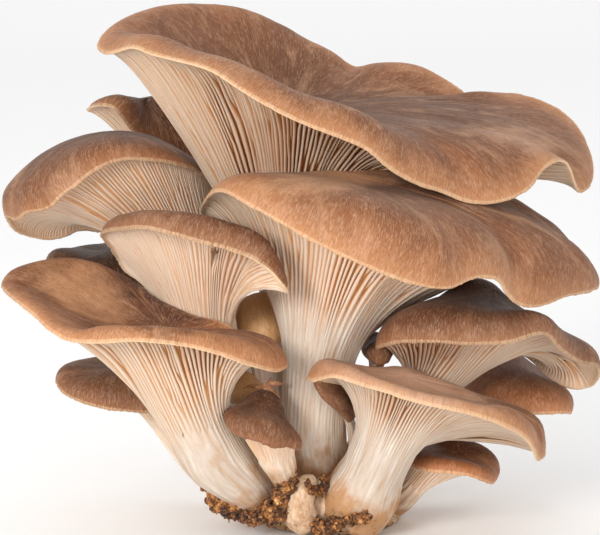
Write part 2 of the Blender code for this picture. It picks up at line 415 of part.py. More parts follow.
# ---- one mushroom ----
def mushroom_columns(spec):
    """The columns of a mushroom, from the foot of the stem over the rim to the centre of the cap."""
    shape = dict(SHAPE, **spec.get("shape", {}))
    columns, stem_rings, under_rings, rim_rings, top_rings = DETAIL[spec["size"]]

    rows = []
    for point in spec["margin"]:
        point = list(point) + [None] * (9 - len(point))
        for i, key in ((4, "k0"), (5, "k1"), (6, "k2"), (7, "tm"), (8, "psi")):
            point[i] = shape[key] if point[i] is None else point[i]
        rows.append(point)
    rows = np.array(rows, float)
    loop = spline(np.hstack([place(rows[:, 0], rows[:, 1], rows[:, 2]), rows[:, 3:]]), True, 1200)
    loop = evenly_round(softened(evenly_round(loop, 240), shape["soft"]), columns)

    stem = np.array(spec["stem"], float)
    run = spline(np.hstack([place(stem[:, 0], stem[:, 1], stem[:, 2]), stem[:, 3:]]), False, 60)
    along = unit(np.gradient(run[:, :3], axis=0))
    neck, axis = run[-1, :3], along[-1]
    middle = place(*spec["centre"])
    first = np.zeros_like(along)
    first[-1] = unit(np.cross(np.array([0, 1.0, 0]), axis)[None])[0]
    for i in range(len(along) - 2, -1, -1):  # carried down the stem without twisting
        first[i] = unit((first[i + 1] - along[i] * (first[i + 1] @ along[i]))[None])[0]
    second = np.cross(along, first)

    def angles(points):
        away = points[:, :3] - neck
        return np.unwrap(np.arctan2(away @ second[-1], away @ first[-1]))

    turned = angles(loop)
    if turned[-1] < turned[0]:
        loop = loop[::-1]
        turned = angles(loop)
    margin, curl = loop[:, :3], np.radians(loop[:, 3])
    k0, k1, k2, tm, psi = (loop[:, i : i + 1] for i in (4, 5, 6, 7, 8))
    psi = np.radians(psi)
    even = np.arange(columns) / columns * 2 * np.pi
    bend = softened(turned - even, 0.02)
    bend = bend.mean() + (bend - bend.mean()) * (1 - shape["even"])
    for _again in range(60):  # neighbouring columns keep apart on the stem
        turn = even + bend
        if np.diff(np.append(turn, turn[0] + 2 * np.pi)).min() > 0.5 * np.pi / columns:
            break
        bend = softened(bend, 0.012)
    cos, sin = np.cos(turn)[:, None], np.sin(turn)[:, None]

    at = np.linspace(0, 1, stem_rings) * (len(run) - 1)
    low = np.clip(at.astype(int), 0, len(run) - 2)
    part = (at - low)[:, None]
    centre, radius, u, v = (a[low] * (1 - part) + a[low + 1] * part for a in (run[:, :3], run[:, 3:4], first, second))
    stalk = centre[None] + cos[:, :, None] * (u * radius)[None] + sin[:, :, None] * (v * radius)[None]
    top_ring = stalk[:, -1]
    ring_below = run[-3, :3] + (cos * first[-3] + sin * second[-3]) * run[-3, 3]
    up_the_stem = unit(top_ring - ring_below)

    # directions at the margin: along it, outwards, and through the cap
    rimward = unit(np.roll(margin, -1, 0) - np.roll(margin, 1, 0))
    outward = margin - middle
    outward = unit(outward - rimward * np.sum(outward * rimward, 1, keepdims=True))
    through = np.cross(outward, rimward)
    through *= np.sign(np.sum(through * axis, 1).mean())
    edge = np.cos(curl)[:, None] * outward - np.sin(curl)[:, None] * through
    normal = np.sin(curl)[:, None] * outward + np.cos(curl)[:, None] * through
    half = shape["rim"] / 2
    below, above = margin - normal * half, margin + normal * half

    # the top
    back = -edge * np.cos(psi) + normal * np.sin(psi)
    reach = np.linalg.norm(margin - middle, axis=1, keepdims=True)
    cap_axis = unit(np.array(spec.get("axis", axis), float)[None])[0]
    radial = unit((margin - middle) - ((margin - middle) @ cap_axis)[:, None] * cap_axis)
    fine = bezier(above, above + back * reach * k2, middle + radial * reach * shape["k3"],
                  np.repeat(middle[None], columns, 0), np.linspace(0, 1, 60))
    top = evenly_along(fine, top_rings)

    # a sheet under the top, one flesh thickness below it
    slope = unit(np.gradient(fine, axis=1))
    across = np.cross(-outward, through)
    inner = unit(np.cross(slope, np.repeat(across[:, None], 60, 1)))
    inner *= np.sign(np.sum(inner * normal[:, None], 2)[:, :1].mean())
    s = np.concatenate([np.zeros((columns, 1)), np.cumsum(np.linalg.norm(np.diff(fine, axis=1), axis=2), 1)], 1)
    s /= s[:, -1:]
    flesh = shape["rim"] + (shape["tau"] - shape["rim"]) * np.minimum(1, s / 0.6) ** 0.9
    sheet = fine - inner * flesh[:, :, None]
    sheet[:, 0] = below

    # the underside: a fillet from the neck out to the sheet, then the sheet to the margin
    join = np.clip(tm[:, 0] * 59, 0, 50)
    j, each = join.astype(int), np.arange(columns)
    part = (join - j)[:, None]
    meet = sheet[each, j] * (1 - part) + sheet[each, np.minimum(j + 1, 59)] * part
    towards = unit(sheet[each, j] - sheet[each, np.minimum(j + 3, 59)])
    follow = np.clip(tm / 0.15, 0, 1)
    towards = unit(edge * (1 - follow) + towards * follow)
    reach = np.linalg.norm(meet - top_ring, axis=1, keepdims=True)
    fillet = bezier(top_ring, top_ring + up_the_stem * reach * k0, meet - towards * reach * k1, meet, np.linspace(0, 1, 60))
    rest = np.empty((columns, 30, 3))
    for n in each:
        for c in range(3):
            rest[n, :, c] = np.interp(np.linspace(join[n], 0, 30), np.arange(60), sheet[n, :, c])
    under = evenly_along(np.concatenate([fillet, rest[:, 1:]], 1), under_rings)

    turn = np.linspace(0, np.pi, rim_rings + 2)[1:-1][None, :, None]
    rim = margin[:, None] + (edge[:, None] * np.sin(turn) - normal[:, None] * np.cos(turn)) * half
    # the last point of every column is the centre of the cap, so it is kept once
    return np.concatenate([stalk, under[:, 1:], rim, top[:, :-1]], axis=1), centre[0], middle


def closed_body(columns, foot, tip):
    """A bmesh of columns of points joined all round, closed by a fan at each end."""
    bm = bmesh.new()
    grid = [[bm.verts.new(p * METRE) for p in column] for column in columns]
    foot, tip = bm.verts.new(foot * METRE), bm.verts.new(tip * METRE)
    for j, one in enumerate(grid):
        two = grid[(j + 1) % len(grid)]
        for i in range(len(one) - 1):
            bm.faces.new((one[i], two[i], two[i + 1]))
            bm.faces.new((one[i], two[i + 1], one[i + 1]))
        bm.faces.new((foot, two[0], one[0]))
        bm.faces.new((tip, one[-1], two[-1]))
    bmesh.ops.recalc_face_normals(bm, faces=bm.faces)
    if bm.calc_volume(signed=True) < 0:
        bmesh.ops.reverse_faces(bm, faces=bm.faces)
    return bm


# ---- the base ----
def base_radius(angle):
    n = len(BASE_OUTLINE)
    t = angle % (2 * np.pi) / (2 * np.pi) * n
    i = np.floor(t).astype(int) % n
    f = t - np.floor(t)
    f = f * f * (3 - 2 * f)
    outline = np.array(BASE_OUTLINE, float)
    return outline[i] * (1 - f) + outline[(i + 1) % n] * f


def base_height(x, y, share):
    h = BASE_DOME
    for bx, by, wx, wy, rise in BASE_SWELLINGS:
        h = h + rise * np.exp(-(((x - bx) / wx) ** 2) - ((y - by) / wy) ** 2)
    return BASE_LIP + h * np.sqrt(np.clip(1 - share**4, 0, 1))


def base_body(sides=36, rings=8):
    angle = np.arange(sides) / sides * 2 * np.pi
    radius = base_radius(angle)
    levels = [(0.94, 0.0), (0.985, 0.5), (1.0, BASE_LIP)]
    levels += [(k, None) for k in np.sin(np.linspace(np.pi / 2, 0, rings + 1))[1:-1]]
    columns = []
    for share, z in levels:
        x = BASE_CENTRE[0] + radius * share * np.cos(angle)
        y = BASE_CENTRE[1] + radius * share * np.sin(angle)
        columns.append(np.stack([x, y, base_height(x, y, share) if z is None else np.full(sides, z)], 1))
    cx, cy = BASE_CENTRE
    return closed_body(np.stack(columns, 1), np.array([cx, cy, 0.0]), np.array([cx, cy, base_height(cx, cy, 0.0)]))


# ---- a lump of substrate ----
def lump_body(centre, half, rough, seed):
    bm = bmesh.new()
    bmesh.ops.create_icosphere(bm, subdivisions=3, radius=1.0)
    for vert in bm.verts:
        x, y, z = vert.co
        swell = 1 + rough * (
            math.sin(3.1 * x + 1.7 * seed) * math.cos(2.7 * y - seed) + 0.7 * math.sin(4.3 * z + 2.3 * x + 0.6 * seed)
            + 0.5 * math.sin(7.1 * y + 5.3 * z + seed)
        )
        at = [c + k * h * swell for c, h, k in zip(centre, half, (x, y, z))]
        at[2] = max(at[2], GAP)  # never below the cut
        vert.co = [a * METRE for a in at]
    bmesh.ops.recalc_face_normals(bm, faces=bm.faces)
    return bm


# ---- scene ----
def material(name, colour, roughness):
    mat = bpy.data.materials.new(name)
    mat.use_nodes = True
    shader = mat.node_tree.nodes["Principled BSDF"]
    shader.inputs["Base Color"].default_value = (*colour, 1.0)
    shader.inputs["Roughness"].default_value = roughness
    shader.inputs["Metallic"].default_value = 0.0
    mat.diffuse_color = (*colour, 1.0)
    return mat


def add(name, bm, parent=None, mat=None, cutter=False):
    mesh = bpy.data.meshes.new(name)
    bm.to_mesh(mesh)
    bm.free()
    obj = bpy.data.objects.new(name, mesh)
    bpy.context.scene.collection.objects.link(obj)
    obj.parent = parent
    if mat:
        mesh.materials.append(mat)
    mesh.shade_smooth()
    if cutter:
        obj.hide_render = True
        obj.display_type = "WIRE"
    return obj


def grown(bm, by):
    """The body again, with every point moved outwards."""
    bm.normal_update()
    moves = [vert.normal * by * METRE for vert in bm.verts]
    for vert, move in zip(bm.verts, moves):
        vert.co += move
    return bm


def cut(obj, cutter):
    mod = obj.modifiers.new("clear_of_" + cutter.name, "BOOLEAN")
    mod.operation = "DIFFERENCE"
    mod.solver = "EXACT"
    mod.object = cutter


def main():
    for obj in list(bpy.data.objects):
        bpy.data.objects.remove(obj, do_unlink=True)
    for mesh in list(bpy.data.meshes):
        bpy.data.meshes.remove(mesh)
    cluster = bpy.data.objects.new("cluster", None)
    bpy.context.scene.collection.objects.link(cluster)

    base = add("base_clump", base_body(), cluster, material("base_clump_flesh", *COLOURS["base"]))
    base.data.set_sharp_from_angle(angle=math.radians(50))
    base_cutter = add("base_cutter", grown(base_body(), GAP), cluster, cutter=True)

    stem_cutters = {}
    clung_to = {stem for lump in LUMPS.values() for stem in lump[3]}
    for name, spec in MUSHROOMS.items():
        colour = COLOURS["ochre" if "young" in name else "cap"]
        body = add(name, closed_body(*mushroom_columns(spec)), cluster, material(name + "_flesh", *colour))
        cut(body, base_cutter)
        if name in clung_to:
            stem_cutters[name] = add(name + "_cutter", grown(closed_body(*mushroom_columns(spec)), GAP), cluster, cutter=True)

    for seed, (name, (centre, half, rough, stems)) in enumerate(LUMPS.items()):
        lump = add(name, lump_body(centre, half, rough, seed + 1), cluster, material(name + "_substrate", *COLOURS["substrate"]))
        cut(lump, base_cutter)
        for stem in stems:
            cut(lump, stem_cutters[stem])


main()
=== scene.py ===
"""Looks of the oyster mushroom cluster: gills as real blades, fibrous caps and stems, a crumbly base.

The mushrooms are laid out with the same control points as the solids, on the same front elevation.
"""
import math

import bmesh
import bpy
import numpy as np
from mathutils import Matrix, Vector
from mathutils.bvhtree import BVHTree


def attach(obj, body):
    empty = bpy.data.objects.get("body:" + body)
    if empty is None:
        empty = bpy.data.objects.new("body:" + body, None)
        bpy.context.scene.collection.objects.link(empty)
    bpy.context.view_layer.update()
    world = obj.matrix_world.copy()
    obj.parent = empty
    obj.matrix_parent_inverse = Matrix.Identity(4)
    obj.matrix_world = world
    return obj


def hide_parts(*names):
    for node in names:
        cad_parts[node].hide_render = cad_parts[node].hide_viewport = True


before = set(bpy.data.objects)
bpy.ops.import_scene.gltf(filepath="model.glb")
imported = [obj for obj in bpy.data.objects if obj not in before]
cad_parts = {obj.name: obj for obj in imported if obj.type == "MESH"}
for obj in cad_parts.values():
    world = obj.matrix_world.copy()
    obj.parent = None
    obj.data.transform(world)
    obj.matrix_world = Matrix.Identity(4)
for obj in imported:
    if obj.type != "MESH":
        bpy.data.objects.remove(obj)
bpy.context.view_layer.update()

# ---- driving dimensions, in millimetres unless they say otherwise ----
GRID = 0.3  # one unit of the front elevation
GRID_MIDDLE = (300.0, 267.5)  # across and down of the elevation's middle
STATION = 800.0  # from the middle plane to the station point
STATION_RISE = math.radians(8.0)  # how far above the horizontal it looks from
MIDDLE_LEFT = 2.4  # the elevation's middle, left of the origin
MIDDLE_UP = 76.35  # and above it, along the elevation
METRE = 0.001
GILL_PITCH = 1.05  # between gills at the margin

SHAPE = dict(k0=0.5, k1=0.35, k2=0.4, k3=0.45, psi=24.0, rim=1.1, even=0.25, soft=0.004, tm=0.0, tau=7.0)
_ = None

# stem: (across, down, depth, radius), from the base up to the neck.
# centre: the middle of the cap's top.
# margin: (across, down, depth, degrees that the edge curls down, k0, k1, k2, tm, psi), right round the cap.
MUSHROOMS = {
    # the largest funnel, its cap leaning to the front right
    "top_mushroom": dict(
        size="large",
        shape=dict(tau=8, tm=0, k0=0.3, k1=0.3, k2=0.36, k3=0.5),
        stem=[(304, 484, 12, 7.2), (300, 420, 14.5, 7.8), (296, 350, 14, 8.2), (290, 285, 12, 9.2)],
        centre=(292, 112, 16),
        margin=[
            (99, 46, -4, 50, 0.14, 0.1), (107, 53, -14, 50, 0.14, 0.1), (118, 51, -20, 40, 0.14, 0.1),
            (134, 46.5, -26, 30, 0.16, 0.12), (150, 53, -30, 25, 0.18, 0.15), (175, 59.5, -34, 20, 0.2, 0.2),
            (199, 65.5, -37, 20), (216, 72, -39, 22), (233, 84, -41, 25), (268, 105, -43, 30),
            (306, 124, -44, 35, 0.32, 0.35), (344, 138, -44, 38, 0.36, 0.4), (368, 149, -43, 38, 0.4, 0.45),
            (383, 163, -42, 35, 0.42, 0.48), (399, 174, -41, 30, 0.45, 0.5), (420, 184.5, -39, 25, 0.48, 0.5),
            (442, 191, -36, 22, 0.5, 0.5), (460, 199, -34, 25, 0.5, 0.5, 0.32),
            (482, 203, -32, 30, 0.45, 0.45, 0.28), (507, 199, -29, 33, 0.4, 0.4, 0.25),
            (529, 187, -24, 30, 0.38, 0.35, 0.22), (541, 170, -18, 18, 0.38, 0.3, 0.2),
            (555, 160, -12, 4, 0.4, 0.25, 0.2), (566, 163, -6, -6, 0.42, 0.22, 0.18),
            (572, 178, 0, -6, 0.42, 0.18, 0.17), (578, 191, 8, 40, 0.42, 0.2, 0.16), (588, 186, 18, 55, _, _, 0.16),
            (592, 168, 28, 35, _, _, 0.14), (580, 133, 42, 5, _, _, 0.12, 0.3), (560, 112, 50, -15, _, _, 0.12, 0.3),
            (535, 100, 54, -20, _, _, 0.14, 0.3), (506, 94, 56, -20, _, _, 0.14, 0.3),
            (476, 101, 57, -30, _, _, 0.2, 0.3), (457, 89, 58, -20, _, _, 0.15, 0.4),
            (437, 76, 60, -10, _, _, 0.12, 0.4), (415, 66, 61, 0, _, _, 0.12, 0.4),
            (385, 64, 62, 0, _, _, 0.12, 0.4), (368, 66, 62, -5, _, _, 0.12, 0.4),
            (354, 69, 62, -20, _, _, 0.16, 0.4), (335, 55, 61, 10, _, _, 0.16, 0.4),
            (300, 41, 60, 35, _, _, 0.25, 0.4), (260, 22, 56, 40, _, _, 0.3, 0.4), (225, 11, 49, 45, _, _, 0.3, 0.4),
            (190, 8, 40, 45, _, _, 0.3, 0.4), (155, 11, 28, 45, 0.14, 0.1, 0.3, 0.4),
            (125, 20, 14, 45, 0.14, 0.1, 0.3, 0.3), (106, 33, 4, 50, 0.14, 0.1, 0.3, 0.2),
        ],
    ),
    # second largest, a broad tongue-shaped cap facing the front
    "center_mushroom": dict(
        size="large",
        shape=dict(tau=7, k2=0.45, k3=0.4),
        stem=[(322, 478, -4, 6.8), (314, 435, -8, 9.3), (314, 400, -12, 9.6), (318, 365, -16, 10.4)],
        centre=(345, 172, -27),
        margin=[
            (203, 213, -22, 20, 0.42, 0.06, 0.25), (207, 199, -34, 25, 0.38, 0.1, 0.25),
            (216, 191, -44, 30, 0.34, 0.15, 0.25), (228, 192, -52, 35, 0.32, 0.2, 0.28),
            (250, 204, -58, 40, 0.3, 0.3, 0.32), (280, 221, -64, 45, _, _, 0.42), (310, 238, -68, 52, _, _, 0.5),
            (340, 253, -71, 55, _, _, 0.54), (370, 266, -72, 58, _, _, 0.56), (400, 278, -71, 58, _, _, 0.55),
            (435, 287, -68, 58, _, _, 0.5), (452, 286, -65, 50, _, _, 0.46), (470, 278, -60, 42, _, _, 0.42),
            (487, 276, -55, 40, _, _, 0.4), (500, 281, -50, 42, _, _, 0.4), (506, 292, -46, 46, _, _, 0.42),
            (518, 303, -41, 48, _, _, 0.42), (537, 305, -35, 48, _, _, 0.4), (566, 295, -26, 44, _, _, 0.34),
            (590, 290, -16, 40, _, _, 0.25), (598, 283, -6, 35, _, _, 0.16), (588, 267, 4, 20, 0.2, 0.3, 0.1),
            (572, 246, 10, 10, 0.2, 0.3, 0.1), (552, 224, 13, 5, 0.2, 0.3, 0.1), (530, 214, 12, 5, 0.2, 0.3, 0.1),
            (500, 214, 8, 0, 0.15, 0.15, 0.1, 0, 30), (450, 218, -2, -12, 0.1, 0.1, 0.1, 0, 36),
            (400, 213, -10, -10, 0.1, 0.1, 0.1, 0, 34), (350, 209, -14, -5, 0.1, 0.1, 0.12, 0, 30),
            (300, 208, -15, 0, 0.15, 0.06, 0.15), (255, 210, -16, 0, 0.3, 0.06, 0.15),
            (222, 216, -17, 0, 0.4, 0.06, 0.15),
        ],
    ),
    # cap under the big one on the right, its far edge rolled down
    "right_upper_mushroom": dict(
        size="medium",
        shape=dict(k3=0.58),
        stem=[(345, 500, 7, 4.8), (355, 470, 6.5, 5.4), (385, 425, 2, 7), (425, 385, -5, 8)],
        centre=(492, 288, -7),
        margin=[
            (377, 347, -31, 40, 0.1, 0.12, 0.28), (387, 344, -38, 46, 0.1, 0.14, 0.28),
            (400, 341, -41, 52, 0.12, 0.16, 0.31), (436, 341, -45, 56, 0.3, 0.3, 0.36),
            (475, 343, -45, 50, _, _, 0.38), (510, 341, -42, 38, _, _, 0.4), (523, 337, -39, 34, _, _, 0.42),
            (536, 333, -35, 36, _, _, 0.44), (547, 334, -31, 42, _, _, 0.44), (556, 344, -26, 46, _, _, 0.4),
            (565, 352, -20, 46, _, _, 0.36), (580, 361, -12, 42, 0.5, 0.25, 0.3),
            (597, 365, -4, 42, 0.55, 0.25, 0.22), (597, 378, 6, 40, 0.62, 0.25, 0.17),
            (588, 386, 12, 36, 0.72, 0.28, 0.16), (571, 387, 13, 25, 0.78, 0.28, 0.15),
            (552, 378, 13, 20, 0.8, 0.26, 0.15), (530, 358, 12, 15, 0.78, 0.24, 0.25),
            (502, 345, 12, 5, 0.66, 0.24, 0.3), (460, 335, 13, 0, 0.42, 0.25), (432, 330, 6, 5),
            (408, 334, -8, 15, 0.1, 0.12, 0.3), (389, 340.5, -22, 36, 0.1, 0.12, 0.3),
        ],
    ),
    # low cap at the front right, leaning right
    "right_lower_mushroom": dict(
        size="medium",
        shape=dict(k3=0.6),
        stem=[(352, 512, -15, 9.6), (362, 494, -18, 10.5), (374, 469, -23, 9.2), (384, 447, -28, 9.4)],
        centre=(404, 375, -30),
        margin=[
            (309, 377, -38, 40), (313, 380, -46, 40), (322, 378, -51, 35), (335, 376, -55, 30, _, _, 0.34),
            (364, 385, -59, 30, _, _, 0.3), (387, 391.5, -61, 30, _, _, 0.28), (409, 399, -62, 30, _, _, 0.28),
            (433, 405, -62, 30, _, _, 0.28), (459, 410.5, -60, 30, _, _, 0.28), (485, 417.5, -57, 30, _, _, 0.28),
            (509, 427, -52, 32, _, _, 0.3), (525, 436.5, -46, 35), (533, 448, -40, 40), (538, 459, -32, 50),
            (544, 454, -22, 35, 0.1, 0.3), (540, 452, -14, 0, 0.1, 0.4), (518, 446, -8, -15, 0.1, 0.4),
            (485, 438, -6, -20, 0.1, 0.45), (445, 426, -8, -20, 0.15, 0.4), (400, 408, -13, -10, 0.2, 0.3),
            (365, 390, -20, 10, 0.3, 0.3), (335, 382, -29, 25),
        ],
    ),
    # low cap at the front left with a folded ridge
    "left_lower_mushroom": dict(
        size="medium",
        shape=dict(tau=7),
        stem=[(261, 504, -12, 6.2), (247, 485, -15, 7.6), (216, 453, -22, 10.2), (200, 425, -28, 10.4)],
        centre=(168, 334, -32),
        margin=[
            (3, 284, -16, 45, 0.42, 0.3, 0.14, 0.5), (14, 298, -28, 40, 0.45, 0.3, 0.14, 0.5),
            (33, 313, -40, 35, 0.5, 0.3, 0.16, 0.4), (50, 329, -50, 35, 0.5, 0.3, 0.2, 0.2),
            (70, 340, -56, 35, 0.45, 0.3, 0.26), (95, 341.5, -59, 35, 0.36, 0.3), (140, 340, -61, 35),
            (180, 344, -62, 35), (215, 352, -61, 38), (250, 364, -57, 40), (275, 370, -50, 45), (286, 365, -43, 45),
            (280, 356, -36, 40), (260, 344, -31, 30), (240, 333, -28, 10), (215, 322, -28, 8),
            (196, 318, -27, 10, 0.25, 0.25), (180, 311, -23, 14, 0.25, 0.25), (160, 302, -19, 18, 0.25, 0.25),
            (130, 281, -8, 22, 0.2, 0.25, 0.2, 0.3), (95, 267, -3, 35, _, _, 0.26, 0.5),
            (60, 262, -2, 40, 0.25, 0.3, 0.18, 0.5), (30, 266, -7, 40, 0.32, 0.3, 0.14, 0.5),
            (10, 274, -12, 45, 0.4, 0.3, 0.14, 0.5),
        ],
    ),
    # half funnel above it, open to the back right
    "left_middle_mushroom": dict(
        size="medium",
        shape=dict(k3=0.55),
        stem=[(276, 490, 3, 4.4), (243, 440, 2, 5.2), (228, 392, -2, 6.4), (213, 345, -9, 8)],
        centre=(190, 229, -20),
        margin=[
            (102, 235, -16, 40, 0.06, 0.06, 0.36), (106, 231, -24, 45, 0.1, 0.1, 0.42),
            (120, 228.5, -33, 50, 0.15, 0.15, 0.52), (145, 227, -42, 52, 0.25, 0.25, 0.6),
            (176, 234, -48, 52, _, _, 0.62), (204, 242, -52, 52, _, _, 0.56), (230, 248.5, -54, 50, _, _, 0.48, 0, 20),
            (253, 257.5, -56, 38, 0.42, 0.34, 0.38, 0, 50), (270, 270, -55, 10, 0.42, 0.3, 0.3, 0, 62),
            (282, 284, -54, -10, 0.38, 0.3, 0.24, 0, 72), (287, 291, -51, -20, 0.35, 0.3, 0.2, 0, 80),
            (281, 289, -46, -20, 0.35, 0.28, 0.2, 0, 74), (264, 281, -39, -12, 0.3, 0.25, 0.2, 0, 58),
            (246, 277, -30, -4, 0.28, 0.2, 0.2, 0, 42), (230, 276, -18, 5, 0.2, 0.15, 0.2),
            (212, 281, -4, 5, 0.06, 0.06, 0.2), (185, 295, 5, 0, 0.06, 0.06, 0.1), (165, 296, 7, 0, 0.04, 0.04, 0.1),
            (146, 283, 7, 0, 0.04, 0.04, 0.1), (127, 271, 3, 5, 0.04, 0.04, 0.1),
            (118, 257, -3, 15, 0.04, 0.04, 0.2), (110, 245, -9, 30, 0.04, 0.04, 0.28),
        ],
    ),
    # hood-shaped cap at the upper left, rolled down all round
    "left_upper_mushroom": dict(
        size="medium",
        shape=dict(k3=0.5),
        axis=(-0.05, 0, 1),
        stem=[(266, 486, 12, 4), (246, 430, 14, 4.8), (227, 350, 18, 6), (193, 262, 16, 8.6)],
        centre=(108, 131, 8),
        margin=[
            (7, 216, 2, 50, 0.15, 0.25, 0.31), (18, 218, -6, 48, 0.12, 0.2, 0.31),
            (28, 211, -12, 46, 0.12, 0.18, 0.32), (43, 209, -15, 44, 0.12, 0.16, 0.34),
            (52, 205, -17, 42, 0.12, 0.15, 0.36), (61, 195, -18, 40, 0.12, 0.15, 0.38),
            (74, 186, -18, 38, 0.12, 0.15, 0.38), (88, 174, -17, 36, 0.12, 0.15, 0.36),
            (105, 164, -15, 32, 0.15, 0.15, 0.33), (125, 159, -13, 28, 0.15, 0.15, 0.27),
            (147, 159.5, -10, 24, 0.15, 0.15, 0.22), (169, 162, -6, 20, 0.15, 0.15, 0.16),
            (190, 168, 1, 14, 0.15, 0.12, 0.12), (208, 176, 10, 12, 0.12, 0.1, 0.1), (217, 192, 19, 10, 0.1, 0.1),
            (213, 208, 24, 10, 0.1, 0.1), (185, 218, 26, 10, 0.1, 0.1), (150, 226, 28, 20, 0.1, 0.15),
            (110, 231, 30, 36, 0.15, 0.2), (80, 229, 30, 44, 0.2, 0.25), (66, 235, 28, 50, 0.2, 0.3, 0.32),
            (52, 238, 26, 52, 0.2, 0.3, 0.34), (30, 235, 20, 52, 0.2, 0.3, 0.32),
            (14, 228, 11, 52, 0.18, 0.28, 0.31),
        ],
    ),
    # small fan behind it
    "left_upper_back_mushroom": dict(
        size="small",
        stem=[(282, 478, 24, 3.6), (262, 400, 31, 4.2), (232, 300, 46, 5), (190, 215, 50, 5.5)],
        centre=(150, 97, 44),
        margin=[
            (89, 110, 38, -20, 0.5, 0.08, 0.2, 0, 76), (94, 106, 32, 0, 0.45, 0.1, 0.22, 0, 60),
            (105, 105, 28, 15, 0.35, 0.12, 0.3, 0, 44), (115, 108, 26, 24, 0.3, 0.15), (122, 116, 27, 28, 0.3, 0.2),
            (129, 125, 29, 30, 0.3, 0.2), (140, 138, 32, 30, 0.3, 0.25), (158, 150, 35, 30), (180, 160, 38, 30),
            (198, 163, 43, 20), (203, 152, 50, 10), (196, 134, 57, 10), (180, 118, 61, 20), (155, 108, 62, 30),
            (130, 108, 56, 20), (103, 111, 47, -5, 0.45, 0.1, 0.25, 0, 60),
        ],
    ),
    # flat cap behind the left side
    "left_back_mushroom": dict(
        size="small",
        stem=[(254, 492, 20, 4), (225, 450, 28, 4), (185, 390, 36, 5), (150, 330, 36, 6)],
        centre=(115, 247, 32),
        margin=[
            (47, 263, 24, 40), (60, 275, 18, 40), (85, 285, 14, 40), (115, 290, 14, 40), (145, 285, 18, 30),
            (160, 275, 26, 20), (160, 262, 38, 20), (145, 255, 47, 30), (115, 254, 51, 30), (80, 256, 45, 30),
            (57, 260, 36, 35),
        ],
    ),
    # small flat cap low on the left
    "left_small_mushroom": dict(
        size="small",
        shape=dict(k0=0.2, k1=0.4),
        stem=[(250, 505, 4, 4), (218, 485, 5, 4), (187, 453, 8, 4), (168, 425, 8, 4.5)],
        centre=(125, 360, 8),
        margin=[
            (57, 381, 0, 45), (66, 393, -5, 45), (80, 400, -9, 45), (110, 408, -12, 45), (148, 411, -12, 45),
            (172, 405, -7, 40), (182, 390, 2, 30), (178, 374, 12, 20), (155, 366, 20, 20), (120, 364, 22, 30),
            (90, 366, 18, 40), (65, 372, 9, 45),
        ],
    ),
    # small flat cap behind on the right
    "right_back_mushroom": dict(
        size="small",
        stem=[(360, 500, 15, 4), (390, 468, 21, 4), (432, 436, 25, 4.8), (472, 412, 24, 5.6)],
        centre=(519, 353, 24),
        margin=[
            (460, 382, 14, 40), (466, 397, 6, 40), (490, 408, -4, 42, _, _, 0.3), (524, 413, -9, 42, _, _, 0.28),
            (550, 412.5, -8, 38, _, _, 0.28), (562, 412, -5, 35, _, _, 0.28), (570, 412, 1, 40, _, _, 0.28),
            (570, 404, 12, 40, _, _, 0.3), (560, 398, 26, 30), (535, 384, 36, 20), (508, 374, 41, 20),
            (482, 372, 36, 30), (465, 376, 25, 40),
        ],
    ),
    # the lowest cap on the right
    "right_small_mushroom": dict(
        size="small",
        shape=dict(k0=0.12, k1=0.3, tau=4),
        stem=[(388, 506, 3, 3.8), (395, 501, 1, 4.3), (404, 494, -4, 4.2), (415, 484, -10, 3.8)],
        centre=(456, 447, -12),
        margin=[
            (408, 461, -14, 25, 0.1, 0.1, 0.3), (417, 467, -22, 35, _, _, 0.35), (430, 470.5, -26, 40),
            (450, 472, -28, 40), (470, 475, -28, 45), (484, 480, -25, 50), (492, 482, -19, 55), (497, 474, -10, 50),
            (492, 464, -2, 40), (475, 458, 4, 30), (450, 456, 5, 20), (425, 458, 1, 20),
            (412, 459, -7, 25, 0.1, 0.1, 0.25),
        ],
    ),
    # young button in front of the stems
    "front_button": dict(
        size="tiny",
        shape=dict(rim=2, k0=0.2, k1=0.2, k2=0.6, k3=0.6, tau=8),
        stem=[(286, 486, -20, 3.6), (282, 470, -24.5, 4.4), (276, 454, -30, 5.2)],
        centre=(260, 397, -34),
        margin=[
            (230, 422, -38, 68), (234, 430, -43, 66), (244, 435, -46, 62), (257, 438, -48, 58), (271, 443, -47, 50),
            (286, 444, -43, 40, _, _, 0.3), (299, 445, -37, 20, 0.12, 0.12, 0.14),
            (292, 437, -31, 20, 0.1, 0.1, 0.16), (281, 427, -27, 30, 0.12, 0.12, 0.3), (270, 417, -24, 50),
            (256, 412, -26, 60), (240, 414, -32, 64),
        ],
    ),
    # ochre button hidden between the stems
    "young_button": dict(
        size="tiny",
        shape=dict(rim=2, k0=0.05, k1=0.05, k2=0.5, k3=0.6, tau=12),
        stem=[(284, 481, -4, 2.6), (273, 440, -4, 3.2), (266, 385, -4, 3.4), (262, 362, -4, 3.4)],
        centre=(257, 292.5, -1),
        margin=[
            (245, 330, -5, 60), (249, 340, -9, 60), (258, 346, -12, 60), (269, 348, -12, 60), (277, 343, -9, 60),
            (279, 333, -3, 60), (274, 322, 2, 50), (262, 312, 5, 40), (252, 312, 5, 40), (246, 320, 0, 50),
        ],
    ),
    # tiny ochre button behind the front left cap
    "young_back_button": dict(
        size="tiny",
        shape=dict(rim=1.6, k0=0.05, k1=0.05, k2=0.5, k3=0.4, tau=8),
        stem=[(285, 484, -10, 1.8), (273, 460, -12, 1.9), (254, 425, -14, 1.9), (247, 410, -16, 1.8)],
        centre=(247, 371, -15),
        margin=[
            (231, 398, -15, 60), (238, 402, -19, 60), (248, 401, -21, 60), (256, 396, -19, 60), (258, 389, -16, 60),
            (252, 385, -13, 60), (242, 385, -13, 60), (234, 391, -14, 60),
        ],
    ),
    # thin curled cap beside the right front stem
    "side_cap_mushroom": dict(
        size="tiny",
